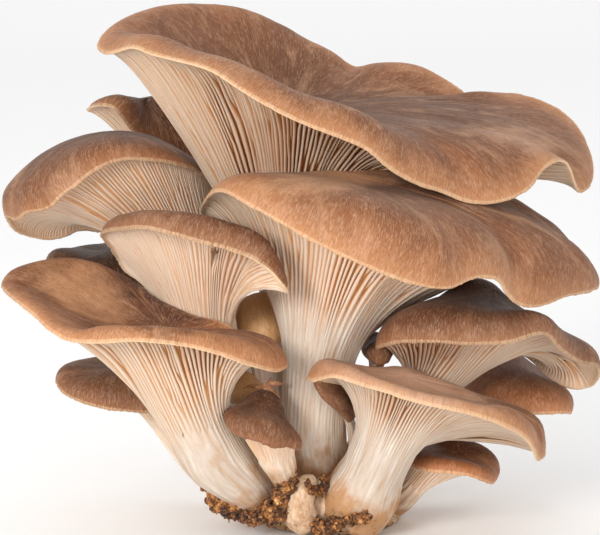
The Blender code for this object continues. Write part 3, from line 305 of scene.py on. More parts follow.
        shape=dict(rim=1.4, k0=0.05, k1=0.05, k2=0.3, k3=0.4, tau=3),
        stem=[(347.5, 490, -4, 1.3), (351.5, 465, -7.2, 1.3), (353, 440, -11, 1.4), (350, 421, -16.5, 1.5), (342, 406, -22, 1.4)],
        centre=(333, 396, -30.5),
        margin=[
            (317, 383, -29, 30), (323, 396, -29, 35), (334, 406, -28, 35), (344, 415, -25, 35),
            (350, 420, -21.5, 30), (354, 411, -20, 30), (351, 399, -22, 30), (341, 388, -25, 30),
            (328, 380, -27.5, 30),
        ],
    ),
    # tiny cap on a thread-like stem
    "tiny_mushroom": dict(
        size="tiny",
        shape=dict(rim=1.6, k0=0.05, k1=0.05, k2=0.5, k3=0.4, tau=5),
        stem=[(357, 480, -1.5, 1.7), (363, 450, -4.5, 1.9), (369, 408, -5, 2), (376, 370, -9, 1.8)],
        centre=(376, 333, -9),
        margin=[
            (366.5, 354, -10, 50), (371, 359, -17, 50), (377, 361.5, -22, 50), (383, 361, -22, 50),
            (388.3, 358, -18, 50), (389, 353, -13, 50), (384.5, 348, -7, 50), (378, 345, -3, 50), (370, 346, -3, 50),
            (366.5, 350, -6, 50),
        ],
    ),
}

# ---- the front elevation ----
RISE_SIN, RISE_COS = math.sin(STATION_RISE), math.cos(STATION_RISE)
MIDDLE = np.array([-MIDDLE_LEFT, RISE_SIN * MIDDLE_UP, RISE_COS * MIDDLE_UP])
INTO, UPWARDS, RIGHT = np.array([0, RISE_COS, -RISE_SIN]), np.array([0, RISE_SIN, RISE_COS]), np.array([1.0, 0, 0])


def place(across, down, depth):
    """World millimetres of a point of the front elevation at a depth."""
    across, down, depth = (np.asarray(a, float) for a in (across, down, depth))
    u = (across - GRID_MIDDLE[0]) * GRID
    v = (GRID_MIDDLE[1] - down) * GRID
    behind = (depth - MIDDLE[1] - RISE_SIN * v) / (RISE_COS + RISE_SIN * v / STATION)
    spread = 1 + behind / STATION
    return MIDDLE + RIGHT * (u * spread)[..., None] + UPWARDS * (v * spread)[..., None] + INTO * behind[..., None]


# ---- noise ----
def _hash(ix, iy, iz, seed):
    h = (ix.astype(np.uint64) * np.uint64(374761393) + iy.astype(np.uint64) * np.uint64(668265263)
         + iz.astype(np.uint64) * np.uint64(2246822519) + np.uint64(seed * 3266489917 % 4294967296)) & np.uint64(0xFFFFFFFF)
    h = ((h ^ (h >> np.uint64(15))) * np.uint64(2246822519)) & np.uint64(0xFFFFFFFF)
    h = ((h ^ (h >> np.uint64(13))) * np.uint64(3266489917)) & np.uint64(0xFFFFFFFF)
    return (h ^ (h >> np.uint64(16))).astype(np.float64) / 4294967295.0 * 2 - 1


def noise(p, size=1.0, seed=0):
    """Smooth noise in about -1..1 at points p (..., 3), with lumps of the given size."""
    q = np.asarray(p, float) / size + 1000.0
    shape = q.shape[:-1]
    q = q.reshape(-1, 3)
    i = np.floor(q).astype(np.int64)
    f = q - i
    f = f * f * f * (f * (f * 6 - 15) + 10)
    out = 0
    for dx in (0, 1):
        wx = f[:, 0] if dx else 1 - f[:, 0]
        for dy in (0, 1):
            wy = f[:, 1] if dy else 1 - f[:, 1]
            for dz in (0, 1):
                wz = f[:, 2] if dz else 1 - f[:, 2]
                out = out + wx * wy * wz * _hash(i[:, 0] + dx, i[:, 1] + dy, i[:, 2] + dz, seed)
    return out.reshape(shape)


def smoothstep(a, b, x):
    t = np.clip((x - a) / (b - a), 0, 1)
    return t * t * (3 - 2 * t)


# ---- curves ----
def unit(a):
    return a / np.maximum(np.linalg.norm(a, axis=-1, keepdims=True), 1e-9)


def spline(points, closed, count):
    """Samples of a smooth curve through points. The first three columns set its pace."""
    points = np.asarray(points, float)
    if closed:
        q = np.vstack([points[-1], points, points[0], points[1]])
    else:
        q = np.vstack([2 * points[0] - points[1], points, 2 * points[-1] - points[-2]])
    steps = np.sqrt(np.maximum(np.linalg.norm(np.diff(q[:, :3], axis=0), axis=1), 1e-6))
    t = np.concatenate([[0], np.cumsum(steps)])
    spans = len(q) - 3
    at = t[1] + (t[1 + spans] - t[1]) * np.arange(count) / (count if closed else count - 1)
    i = np.clip(np.searchsorted(t[1 : 2 + spans], at, side="right") - 1, 0, spans - 1)
    a, b, c, d = q[i], q[i + 1], q[i + 2], q[i + 3]
    ta, tb, tc, td = (t[i + k][:, None] for k in range(4))
    at = at[:, None]
    a1 = (tb - at) / (tb - ta) * a + (at - ta) / (tb - ta) * b
    a2 = (tc - at) / (tc - tb) * b + (at - tb) / (tc - tb) * c
    a3 = (td - at) / (td - tc) * c + (at - tc) / (td - tc) * d
    b1 = (tc - at) / (tc - ta) * a1 + (at - ta) / (tc - ta) * a2
    b2 = (td - at) / (td - tb) * a2 + (at - tb) / (td - tb) * a3
    return (tc - at) / (tc - tb) * b1 + (at - tb) / (tc - tb) * b2


def evenly_round(loop, count):
    """A closed loop again, with its points at even distances, and its length."""
    d = np.vstack([loop, loop[:1]])
    s = np.concatenate([[0], np.cumsum(np.linalg.norm(np.diff(d[:, :3], axis=0), axis=1))])
    q = np.arange(count) / count * s[-1]
    return np.stack([np.interp(q, s, d[:, k]) for k in range(d.shape[1])], axis=1), s[-1]


def softened(loop, width):
    """A closed loop with its small ripples smoothed away."""
    f = np.fft.rfft(loop, axis=0)
    g = np.exp(-0.5 * (np.arange(len(f)) * width * 2 * np.pi) ** 2)
    return np.fft.irfft(f * g.reshape(-1, *([1] * (loop.ndim - 1))), n=len(loop), axis=0)


def bezier(p0, p1, p2, p3, t):
    t = t[None, :, None]
    p0, p1, p2, p3 = (q[:, None, :] for q in (p0, p1, p2, p3))
    return (1 - t) ** 3 * p0 + 3 * (1 - t) ** 2 * t * p1 + 3 * (1 - t) * t * t * p2 + t**3 * p3


def evenly_along(lines, q):
    """Each of a set of polylines again, at the given shares of its length, and the lengths."""
    s = np.concatenate([np.zeros((len(lines), 1)), np.cumsum(np.linalg.norm(np.diff(lines, axis=1), axis=2), 1)], 1)
    total = s[:, -1].copy()
    s /= s[:, -1:]
    out = np.empty((len(lines), len(q), 3))
    for j in range(len(lines)):
        for c in range(3):
            out[j, :, c] = np.interp(q, s[j], lines[j, :, c])
    return out, total


def sheet_normals(sheet):
    """Normals of a grid (columns round, rows along), closed round the first axis."""
    a = np.roll(sheet, -1, 0) - np.roll(sheet, 1, 0)
    b = np.gradient(sheet, axis=1)
    return unit(np.cross(a, b))


# ---- the smooth form of one mushroom ----
def mushroom_form(spec, columns, stem_q, under_q, top_q):
    """Stem, underside and top as grids of evenly spread columns, with what the rim needs."""
    shape = dict(SHAPE, **spec.get("shape", {}))
    rows = []
    for point in spec["margin"]:
        point = list(point) + [None] * (9 - len(point))
        for i, key in ((4, "k0"), (5, "k1"), (6, "k2"), (7, "tm"), (8, "psi")):
            point[i] = shape[key] if point[i] is None else point[i]
        rows.append(point)
    rows = np.array(rows, float)
    loop = spline(np.hstack([place(rows[:, 0], rows[:, 1], rows[:, 2]), rows[:, 3:]]), True, 1600)
    loop, _length = evenly_round(loop, 480)
    loop, perimeter = evenly_round(softened(loop, shape["soft"]), columns)

    stem = np.array(spec["stem"], float)
    run = spline(np.hstack([place(stem[:, 0], stem[:, 1], stem[:, 2]), stem[:, 3:]]), False, 60)
    along = unit(np.gradient(run[:, :3], axis=0))
    neck, axis = run[-1, :3], along[-1]
    middle = place(*spec["centre"])
    first = np.zeros_like(along)
    first[-1] = unit(np.cross(np.array([0, 1.0, 0]), axis)[None])[0]
    for i in range(len(along) - 2, -1, -1):
        first[i] = unit((first[i + 1] - along[i] * (first[i + 1] @ along[i]))[None])[0]
    second = np.cross(along, first)

    def angles(points):
        away = points[:, :3] - neck
        return np.unwrap(np.arctan2(away @ second[-1], away @ first[-1]))

    turned = angles(loop)
    if turned[-1] < turned[0]:
        loop = loop[::-1]
        turned = angles(loop)
    margin, curl = loop[:, :3], np.radians(loop[:, 3])
    k0, k1, k2, tm, psi = (loop[:, i : i + 1] for i in (4, 5, 6, 7, 8))
    psi = np.radians(psi)
    even = np.arange(columns) / columns * 2 * np.pi
    bend = softened(turned - even, 0.02)
    bend = bend.mean() + (bend - bend.mean()) * (1 - shape["even"])
    for _again in range(60):
        turn = even + bend
        if np.diff(np.append(turn, turn[0] + 2 * np.pi)).min() > 0.5 * np.pi / columns:
            break
        bend = softened(bend, 0.012)
    cos, sin = np.cos(turn)[:, None], np.sin(turn)[:, None]

    at = np.asarray(stem_q) * (len(run) - 1)
    low = np.clip(at.astype(int), 0, len(run) - 2)
    part = (at - low)[:, None]
    centre, radius, u, v = (a[low] * (1 - part) + a[low + 1] * part for a in (run[:, :3], run[:, 3:4], first, second))
    stalk = centre[None] + cos[:, :, None] * (u * radius)[None] + sin[:, :, None] * (v * radius)[None]
    stem_down = np.linalg.norm(np.diff(centre, axis=0), axis=1)[::-1].cumsum()[::-1]
    stem_down = np.append(stem_down, 0.0)
    top_ring = stalk[:, -1]
    ring_below = run[-3, :3] + (cos * first[-3] + sin * second[-3]) * run[-3, 3]
    up_the_stem = unit(top_ring - ring_below)

    rimward = unit(np.roll(margin, -1, 0) - np.roll(margin, 1, 0))
    outward = margin - middle
    outward = unit(outward - rimward * np.sum(outward * rimward, 1, keepdims=True))
    through = np.cross(outward, rimward)
    through *= np.sign(np.sum(through * axis, 1).mean())
    edge = np.cos(curl)[:, None] * outward - np.sin(curl)[:, None] * through
    normal = np.sin(curl)[:, None] * outward + np.cos(curl)[:, None] * through
    half = shape["rim"] / 2
    below, above = margin - normal * half, margin + normal * half

    back = -edge * np.cos(psi) + normal * np.sin(psi)
    reach = np.linalg.norm(margin - middle, axis=1, keepdims=True)
    cap_axis = unit(np.array(spec.get("axis", axis), float)[None])[0]
    radial = unit((margin - middle) - ((margin - middle) @ cap_axis)[:, None] * cap_axis)
    fine = bezier(above, above + back * reach * k2, middle + radial * reach * shape["k3"],
                  np.repeat(middle[None], columns, 0), np.linspace(0, 1, 60))
    top, top_length = evenly_along(fine, top_q)

    slope = unit(np.gradient(fine, axis=1))
    across = np.cross(-outward, through)
    inner = unit(np.cross(slope, np.repeat(across[:, None], 60, 1)))
    inner *= np.sign(np.sum(inner * normal[:, None], 2)[:, :1].mean())
    s = np.concatenate([np.zeros((columns, 1)), np.cumsum(np.linalg.norm(np.diff(fine, axis=1), axis=2), 1)], 1)
    s /= s[:, -1:]
    flesh = shape["rim"] + (shape["tau"] - shape["rim"]) * np.minimum(1, s / 0.6) ** 0.9
    sheet = fine - inner * flesh[:, :, None]
    sheet[:, 0] = below

    join = np.clip(tm[:, 0] * 59, 0, 50)
    j, each = join.astype(int), np.arange(columns)
    part = (join - j)[:, None]
    meet = sheet[each, j] * (1 - part) + sheet[each, np.minimum(j + 1, 59)] * part
    towards = unit(sheet[each, j] - sheet[each, np.minimum(j + 3, 59)])
    follow = np.clip(tm / 0.15, 0, 1)
    towards = unit(edge * (1 - follow) + towards * follow)
    reach = np.linalg.norm(meet - top_ring, axis=1, keepdims=True)
    fillet = bezier(top_ring, top_ring + up_the_stem * reach * k0, meet - towards * reach * k1, meet, np.linspace(0, 1, 60))
    rest = np.empty((columns, 30, 3))
    for n in each:
        for c in range(3):
            rest[n, :, c] = np.interp(np.linspace(join[n], 0, 30), np.arange(60), sheet[n, :, c])
    under, under_length = evenly_along(np.concatenate([fillet, rest[:, 1:]], 1), under_q)
    return dict(stalk=stalk, under=under, top=top, margin=margin, edge=edge, normal=normal, half=half,
                middle=middle, foot=centre[0], perimeter=perimeter, top_length=top_length,
                under_length=under_length, stem_down=stem_down, axis=axis, above=above)


def keep_under_the_top(form, least):
    """Moves the underside out where it comes too near the top, and returns the thickness of the flesh."""
    top = form["top"]
    n, r = top.shape[:2]
    verts = [Vector(p) for p in top.reshape(-1, 3)]
    faces = [(j * r + i, ((j + 1) % n) * r + i, ((j + 1) % n) * r + i + 1, j * r + i + 1) for j in range(n) for i in range(r - 1)]
    tree = BVHTree.FromPolygons(verts, faces)
    under = form["under"]
    thick = np.full(under.shape[:2], 99.0)
    out_of_body = sheet_normals(top)
    # the top's normals face away from the flesh
    guess = np.sum(out_of_body[:, 2] * form["normal"], 1).mean()
    turn = 1 if guess > 0 else -1
    moved = under.copy()
    for j in range(under.shape[0]):
        for i in range(under.shape[1]):
            q = Vector(under[j, i])
            p, nrm, index, dist = tree.find_nearest(q, 12.0)
            if p is None:
                continue
            a, b = divmod(index, r - 1)
            up = Vector(out_of_body[a, b]) * turn
            t = (p - q).dot(up)
            if abs(t) < 0.3 * dist:  # beside the cap, not under it
                thick[j, i] = dist
                continue
            t = math.copysign(dist, t)
            want = least[j, i]
            if t < want:
                q = p - up * want
                moved[j, i] = q
                t = want
            thick[j, i] = t
    form["under"] = moved
    return thick


# ---- the fine surface of one mushroom ----
def at_share(row, share):
    """Values of a closed row at shares 0..1 of the way round."""
    n = len(row)
    t = (share % 1.0) * n
    i = np.floor(t).astype(int) % n
    f = (t - np.floor(t)).reshape(-1, *([1] * (row.ndim - 1)))
    return row[i] * (1 - f) + row[(i + 1) % n] * f


class Surface:
    """Rings of points from the foot to the centre of the cap, joined into one closed mesh."""

    def __init__(self):
        self.points, self.values, self.faces, self.kinds = [], [], [], []
        self.count = 0

    def ring(self, points, **values):
        n = len(points)
        first = self.count
        self.points.append(points)
        row = np.zeros((n, 7))
        row[:, 0:3] = values["ring"]
        row[:, 3] = values.get("depth", 0.0)
        row[:, 4] = values.get("down", 0.0)
        row[:, 5] = values.get("edge", 0.0)
        row[:, 6] = values.get("thin", 0.0)
        self.values.append(row)
        self.count += n
        return np.arange(first, first + n)

    def band(self, a, b, kind):
        """Quads between two rings of the same length."""
        a2, b2 = np.roll(a, -1), np.roll(b, -1)
        self.faces.append(np.stack([a, a2, b2, b], 1))
        self.kinds.append(np.full(len(a), kind))

    def gather(self, fine, coarse, keep, kind):
        """Joins a fine ring to a coarser one. keep: index in the fine ring of each coarse point."""
        n, tris = len(fine), []
        m = len(coarse)
        for k in range(m):
            lo, hi = keep[k], keep[(k + 1) % m] + (n if k == m - 1 else 0)
            for i in range(lo, hi):
                tris.append((coarse[k], fine[i % n], fine[(i + 1) % n]))
            tris.append((coarse[k], fine[hi % n], coarse[(k + 1) % m]))
        tris = np.array(tris)
        return tris, kind

    def add_tris(self, tris, kind, flip):
        tris = tris[:, ::-1] if flip else tris
        self.faces.append(tris)
        self.kinds.append(np.full(len(tris), kind))

    def fan(self, ring, point, values, kind, flip):
        centre = self.ring(point[None], **values)[0]
        a, b = ring, np.roll(ring, -1)
        tris = np.stack([np.full(len(a), centre), a, b], 1)
        self.add_tris(tris, kind, flip)


def make_mesh(name, points, faces, kinds, values, materials):
    """A mesh object of mixed triangles and quads, with its shading coordinates as attributes."""
    points = np.array(points)
    low = points[:, 2] < 0.6
    points[low, 2] = 0.6 * np.exp(points[low, 2] / 0.6 - 1)  # the feet stay on the floor
    mesh = bpy.data.meshes.new(name)
    loops = np.concatenate([f.ravel() for f in faces])
    sizes = np.concatenate([np.full(len(f), f.shape[1]) for f in faces])
    kinds = np.concatenate(kinds)
    mesh.vertices.add(len(points))
    mesh.vertices.foreach_set("co", (points * METRE).astype(np.float32).ravel())
    mesh.loops.add(len(loops))
    mesh.loops.foreach_set("vertex_index", loops.astype(np.int32))
    mesh.polygons.add(len(sizes))
    starts = np.concatenate([[0], np.cumsum(sizes)[:-1]])
    mesh.polygons.foreach_set("loop_start", starts.astype(np.int32))
    mesh.polygons.foreach_set("material_index", kinds.astype(np.int32))
    mesh.update(calc_edges=True)
    mesh.validate()
    for mat in materials:
        mesh.materials.append(mat)
    # far: 0 at the front of the piece and 1 at the back; the caps use it for painted light in front and painted shade
    # behind
    values = dict(values, far=(points[:, 1] - points[:, 1].min()) / np.ptp(points[:, 1]))
    for key, cols in values.items():
        if cols.ndim == 2:
            att = mesh.attributes.new(key, "FLOAT_VECTOR", "POINT")
            att.data.foreach_set("vector", cols.astype(np.float32).ravel())
        else:
            att = mesh.attributes.new(key, "FLOAT", "POINT")
            att.data.foreach_set("value", cols.astype(np.float32))
    mesh.shade_smooth()
    obj = bpy.data.objects.new(name, mesh)
    bpy.context.scene.collection.objects.link(obj)
    return obj


CAP, GILL, STEM = 0, 1, 1  # the gills run down into the stem, so they share one material


def grow(node, spec, materials, seed, pitch=GILL_PITCH, gill_height=2.6, lumps=0.3, bare=0.0, even=0.006):
    """One mushroom with its gills, as one closed mesh."""
    rng = np.random.default_rng(seed)
    large = spec["size"] in ("large", "medium")
    base_columns = {"large": 480, "medium": 360, "small": 240, "tiny": 120}[spec["size"]]
    stem_rows = {"large": 22, "medium": 18, "small": 14, "tiny": 10}[spec["size"]]
    low_rows = {"large": 5, "medium": 5, "small": 4, "tiny": 3}[spec["size"]]
    high_rows = {"large": 26, "medium": 22, "small": 14, "tiny": 8}[spec["size"]]
    split = 0.09
    top_q = np.concatenate([[0, 0.006, 0.014, 0.026, 0.044, 0.07], np.linspace(0.1, 1, {"large": 34, "medium": 26, "small": 18, "tiny": 10}[spec["size"]])])
    stem_q = np.linspace(0, 1, stem_rows)
    low_q = np.linspace(0, split, low_rows)
    high_q = split + (1 - split) * (1 - (1 - np.linspace(0, 1, high_rows)) ** 1.25)
    under_q = np.concatenate([low_q, high_q[1:]])
    form = mushroom_form(spec, base_columns, stem_q, under_q, top_q)
    perimeter = form["perimeter"]
    primaries = max(8, int(round(perimeter / pitch / 4)))
    gills = primaries * 4
    half_rim = form["half"]
    x = (1 - under_q)[None] * form["under_length"][:, None]  # mm from the margin
    least = np.minimum(2 * half_rim + 0.06 * x, 4.5) * 0.9
    thick = keep_under_the_top(form, least)
    thick = softened(thick, even)

    smooth_under = form["under"]
    normals = sheet_normals(np.concatenate([form["stalk"][:, -2:-1], smooth_under], 1))[:, 1:]
    sign = -1 if np.sum(normals[:, -2] * form["normal"], 1).mean() > 0 else 1
    normals = normals * sign  # away from the flesh
    stalk_normals = sheet_normals(np.concatenate([form["stalk"], smooth_under[:, 1:3]], 1))[:, : form["stalk"].shape[1]] * sign
    for row, q in enumerate(top_q):  # no pleats: the cap's folds are broad
        if 0.05 < q < 0.99:
            form["top"][:, row] = softened(form["top"][:, row], 0.024 * float(smoothstep(0.05, 0.45, q)))
    top_normals = sheet_normals(form["top"])
    top_sign = 1 if np.sum(top_normals[:, 3] * form["normal"], 1).mean() > 0 else -1
    top_normals *= top_sign

    round_r = perimeter / (2 * np.pi)
    surface = Surface()
    fine_n, coarse_n = gills * 4, gills

    # places of the gills, as shares of the way round. Shorter gills start where the longer ones have spread apart
    gill_at = np.arange(gills) + 0.5 + np.where(np.arange(gills) % 4 == 0, rng.uniform(-0.35, 0.35, gills), 0.0)
    tier = np.tile([0, 2, 1, 2], primaries)
    here_at = (gill_at % gills) / gills
    step = np.linalg.norm(at_share(smooth_under, here_at + 0.5 / gills) - at_share(smooth_under, here_at - 0.5 / gills), axis=2)
    spacing = softened(step, 0.004)  # at every row, between neighbours if all of them were there
    wanted = np.where(tier == 1, 4 * spacing.T, 2 * spacing.T).T  # what the longer gills leave
    limit = np.where(tier == 1, 1.15, 1.25) * pitch * rng.uniform(0.75, 1.5, gills)
    first_row = np.argmax(wanted > limit[:, None], axis=1)
    first_row = np.where((wanted > limit[:, None]).any(axis=1), first_row, len(under_q) - 6)
    start = np.where(tier == 0, -1.0, under_q[first_row] + rng.uniform(-0.02, 0.02, gills))
    low_edge = np.where(tier == 0, rng.uniform(0, 0.08, gills), np.where(tier == 1, rng.uniform(0.03, 0.15, gills), rng.uniform(0.06, 0.3, gills)))

    def turn_values(share, z):
        return np.stack([round_r * np.cos(2 * np.pi * share), round_r * np.sin(2 * np.pi * share), np.broadcast_to(z, share.shape)], 1)

    # girth of the mushroom at each row, for the width of the blades
    girth = np.linalg.norm(np.roll(smooth_under, -1, 0) - smooth_under, axis=2).sum(0)

    def wobble(q, index, scale=7.0):
        length = form["under_length"].mean()
        p = np.stack([index * 3.7, np.full(len(index), q * length / scale), np.full(len(index), seed * 5.1)], 1)
        return noise(p, 1.0, 3)

    def gill_height_at(row, share):
        q = under_q[row]
        xx = at_share(x[:, row], share)
        length = at_share(form["under_length"], share)
        to_neck = q * length
        h = gill_height * (1 - np.exp(-xx / 4.0)) * (0.25 + 0.75 * smoothstep(0.0, 0.55, q))
        h = np.minimum(h, 0.62 * at_share(thick[:, row], share))
        h = np.minimum(h, 0.35 + 0.11 * to_neck)
        h = h * (0.16 + 0.84 * smoothstep(bare - 9.0, bare + 9.0, to_neck)) if bare > 0 else h
        return np.maximum(h, 0.02), xx

    # the stem: same columns as the low part of the gills
    ring_ids = []
    primary = np.arange(primaries)
    primary_at = gill_at[primary * 4] / gills
    foot_length = form["stem_down"][0]

    def low_columns(q):
        """Four columns per primary gill: its two edges, then the two edges of the valley after it."""
        period = 1.0 / primaries
        half, wall = 0.20 * period, 0.10 * period
        centre = primary_at + wobble(max(q, 0), primary, 9.0) * 0.04 * period
        after = np.append(centre[1:], centre[0] + 1)
        return np.stack([centre - half, centre + half, centre + half + wall, after - half - wall], 1).ravel()

    valley = np.tile([0, 0, 1, 1], primaries)
    for i, q in enumerate(stem_q):
        share = low_columns(-1.0)
        down = form["stem_down"][i]
        p = at_share(form["stalk"][:, i], share)
        nrm = unit(at_share(stalk_normals[:, i], share))
        run = turn_values(share, down)
        h = (0.30 if bare <= 0 else 0.12) * math.exp(-down / 14.0)
        fibre = run * [0.9, 0.9, 0.05]
        radius = girth[0] / (2 * np.pi)
        soft = run * [radius / round_r / 4.5, radius / round_r / 4.5, 1 / 16.0]
        small = run * [radius / round_r / 1.5, radius / round_r / 1.5, 1 / 11.0]
        lump = lumps * min(1.0, radius / 6) * noise(soft, 1.0, seed) + 0.13 * min(1.0, radius / 4) * noise(small, 1.0, seed + 9)
        flare = 0.10 * radius * math.exp(-(foot_length - down) / (0.9 * radius))
        p = p + nrm * (lump + flare - h * valley)[:, None]
        ring_ids.append(surface.ring(p, ring=turn_values(share, down + 40), depth=h * valley, down=down, edge=60.0))
    for a, b in zip(ring_ids[:-1], ring_ids[1:]):
        surface.band(a, b, STEM)

    lump_last = None
    low_ids = [ring_ids[-1]]
    for row in range(1, low_rows):
        q = under_q[row]
        share = low_columns(q)
        h, xx = gill_height_at(row, share)
        p = at_share(smooth_under[:, row], share)
        nrm = unit(at_share(normals[:, row], share))
        radius = girth[0] / (2 * np.pi)
        fade = 1 - smoothstep(0, 0.2, q)
        run = turn_values(share, 0.0 - q * form["under_length"].mean())
        soft = run * [radius / round_r / 4.5, radius / round_r / 4.5, 1 / 16.0]
        lump = lumps * fade * min(1.0, radius / 6) * noise(soft, 1.0, seed)
        fade_in = 0.30 if bare <= 0 else 0.12
        hh = np.maximum(h, fade_in * (1 - smoothstep(0, 0.1, q)))
        p = p + nrm * (lump - hh * valley)[:, None]
        low_ids.append(surface.ring(p, ring=turn_values(share, 40 - q * form["under_length"].mean()), depth=hh * valley, down=-q * at_share(form["under_length"], share), edge=xx))
    for a, b in zip(low_ids[:-1], low_ids[1:]):
        surface.band(a, b, GILL)

    # the gills
    pattern = np.array([-1, 1, 1, -1])
    high_ids = []
    side = np.tile([0, 0, 1, 1], gills)
    for row in range(low_rows, len(under_q)):
        q = under_q[row]
        # a gill that has not started takes little room, so that the others keep even valleys between them
        active = np.where(tier == 0, 1.0, smoothstep(-0.02, 0.08, q - start))
        room = 0.12 + 0.88 * active
        room_next = np.roll(room, -1)
        gap = ((room + room_next) / 2).reshape(primaries, 4)
        centre0 = primary_at + wobble(q, primary, 9.0) * 0.04 / primaries
        span = np.diff(np.append(centre0, centre0[0] + 1.0))
        scale = span / gap.sum(1)
        inside = np.cumsum(gap, 1) - gap
        centre = (centre0[:, None] + inside * scale[:, None]).ravel()
        each = np.repeat(scale, 4) * room
        centre = centre + np.where(tier == 0, 0.0, 0.10 * each * wobble(q, np.arange(gills)) * active)
        fat = 0.27 - 0.06 * smoothstep(0.6, 1.0, q)
        half, wall = fat * each, 0.13 * each
        after = np.append(centre[1:], centre[0] + 1)
        half_after, wall_after = np.roll(half, -1), np.roll(wall, -1)
        share = np.stack([centre - half, centre + half, centre + half + wall, after - half_after - wall_after], 1).ravel()
        h, xx = gill_height_at(row, share)
        here = 1 - smoothstep(0, 0.10, q - start)
        v = np.repeat(np.clip(here + low_edge * smoothstep(0, 0.06, 1 - q), 0, 1), 4)
        v = np.where(side == 1, 1.0, v)
        p = at_share(smooth_under[:, row], share)
        nrm = unit(at_share(normals[:, row], share))
        wave = 0.10 * np.repeat(noise(np.stack([np.arange(gills) * 2.3, np.full(gills, q * 9), np.zeros(gills)], 1), 1.0, seed + 4), 4) * smoothstep(0, 0.1, 1 - q)
        p = p + nrm * (wave - h * v)[:, None]
        high_ids.append(surface.ring(p, ring=turn_values(share, 40 - q * form["under_length"].mean()), depth=h * v, down=-q * at_share(form["under_length"], share), edge=xx, thin=v))
    for a, b in zip(high_ids[:-1], high_ids[1:]):
        surface.band(a, b, GILL)
    keep = (np.arange(primaries)[:, None] * 16 + np.array([0, 1, 2, 15])[None]).ravel()
    tris, kind = surface.gather(high_ids[0], low_ids[-1], keep, GILL)
    surface.add_tris(tris, GILL, True)

    # the rim
    def rim_noise(share):
        r = turn_values(share, 0.0)
        return 0.16 * noise(r, 0.8, seed + 20) + 0.22 * noise(r, 3.2, seed + 21)

    rim_ids = [high_ids[-1]]
    share = 0.5 * share + 0.5 * (((np.arange(gills)[:, None] + np.array([-0.2, 0.2, 0.4, 0.65])[None]) + gill_at[0]) / gills).ravel()
    m, e, nn = (at_share(form[k], share) for k in ("margin", "edge", "normal"))
    e, nn = unit(e), unit(nn)
    bump = rim_noise(share)[:, None]
    for a in (0.3, 0.75, 1.25, 1.6, 2.1):
        p = m + (e * np.sin(a) * (1.15 + bump) - nn * np.cos(a)) * half_rim * (1 + 0.35 * bump)
        rim_ids.append(surface.ring(p, ring=turn_values(share, 0.0), edge=max(0.0, a - 0.75) * half_rim, depth=0.0, down=-60))
    for k, (a, b) in enumerate(zip(rim_ids[:-1], rim_ids[1:])):
        surface.band(a, b, CAP if k > 0 else GILL)

    # the top
    share_top = share[::4]
    top_ids = []
    for row, q in enumerate(top_q[:-1]):
        p = at_share(form["top"][:, row], share_top)
        nrm = unit(at_share(top_normals[:, row], share_top))
        xx = q * at_share(form["top_length"], share_top)
        grow_in = smoothstep(0.5, 7, xx)
        r = turn_values(share_top, xx)
        folds = 0.10 * noise(r * [1, 1, 0.12], 2.3, seed + 5) + 0.16 * noise(r * [1, 1, 0.2], 6.0, seed + 6)
        lump = 0.45 * noise(p, 14.0, seed + 7) + 0.10 * noise(p, 4.5, seed + 8)
        p = p + nrm * ((lump + folds) * grow_in * (1 - 0.6 * q) + 0.05 * noise(r, 0.9, seed + 11) * (1 - grow_in))[:, None]
        calm = float(smoothstep(0.5, 0.97, q))
        xx = (xx + 1.35 * np.mean(half_rim)) * (1 - calm) + np.mean(xx) * calm
        top_ids.append(surface.ring(p, ring=r, edge=xx, down=-60, thin=calm))
    tris, kind = surface.gather(rim_ids[-1], top_ids[0], np.arange(0, fine_n, 4), CAP)
    surface.add_tris(tris, CAP, False)
    for a, b in zip(top_ids[:-1], top_ids[1:]):
        surface.band(a, b, CAP)
    end = dict(ring=np.array([[0, 0, form["top_length"].mean()]]), edge=form["top_length"].mean(), down=-60, thin=1.0)
    surface.fan(top_ids[-1], form["middle"], end, CAP, False)
    surface.fan(ring_ids[0], form["foot"], dict(ring=np.array([[0, 0, 40 + foot_length]]), down=foot_length, edge=60.0), STEM, True)

    points = np.concatenate(surface.points)
    values = np.concatenate(surface.values)
    # which way round the faces are
    flip = volume(points, surface.faces) < 0
    faces = [f[:, ::-1] if flip else f for f in surface.faces]
    obj = make_mesh(node + "_skin", points, faces, surface.kinds,
                    dict(ring=values[:, 0:3], depth=values[:, 3], down=values[:, 4], edge=values[:, 5], thin=values[:, 6]), materials)
    print(node, "perimeter", round(perimeter), "gills", gills, "faces", sum(len(f) * (f.shape[1] - 2) for f in faces), "flip", flip)
    return obj


def volume(points, faces):
    total = 0.0
    for f in faces:
        v = points[f]
        total += np.einsum("ij,ij->i", v[:, 0], np.cross(v[:, 1], v[:, 2])).sum()
        if f.shape[1] == 4:
            total += np.einsum("ij,ij->i", v[:, 0], np.cross(v[:, 2], v[:, 3])).sum()
    return total / 6


# ---- materials ----
def nodes_of(name):
    mat = bpy.data.materials.new(name)
    mat.use_nodes = True
    tree = mat.node_tree
    return mat, tree, tree.nodes["Principled BSDF"]


def node(tree, kind, **values):
    n = tree.nodes.new(kind)
    for key, value in values.items():
        if key.startswith("in_"):
            n.inputs[int(key[3:])].default_value = value
        else:
            setattr(n, key, value)
    return n


def attribute(tree, name, vector=False):
    n = node(tree, "ShaderNodeAttribute", attribute_name=name)
    return n.outputs["Vector" if vector else "Fac"]


def math_node(tree, op, a, b=None, c=None, clamp=False):
    n = node(tree, "ShaderNodeMath", operation=op, use_clamp=clamp)
    for i, x in enumerate((a, b, c)):
        if x is None:
            continue
        if isinstance(x, (int, float)):
            n.inputs[i].default_value = x
        else:
            tree.links.new(x, n.inputs[i])
    return n.outputs[0]


def scaled(tree, vector, by):
    n = node(tree, "ShaderNodeVectorMath", operation="MULTIPLY")
    tree.links.new(vector, n.inputs[0])
    n.inputs[1].default_value = by
    return n.outputs[0]


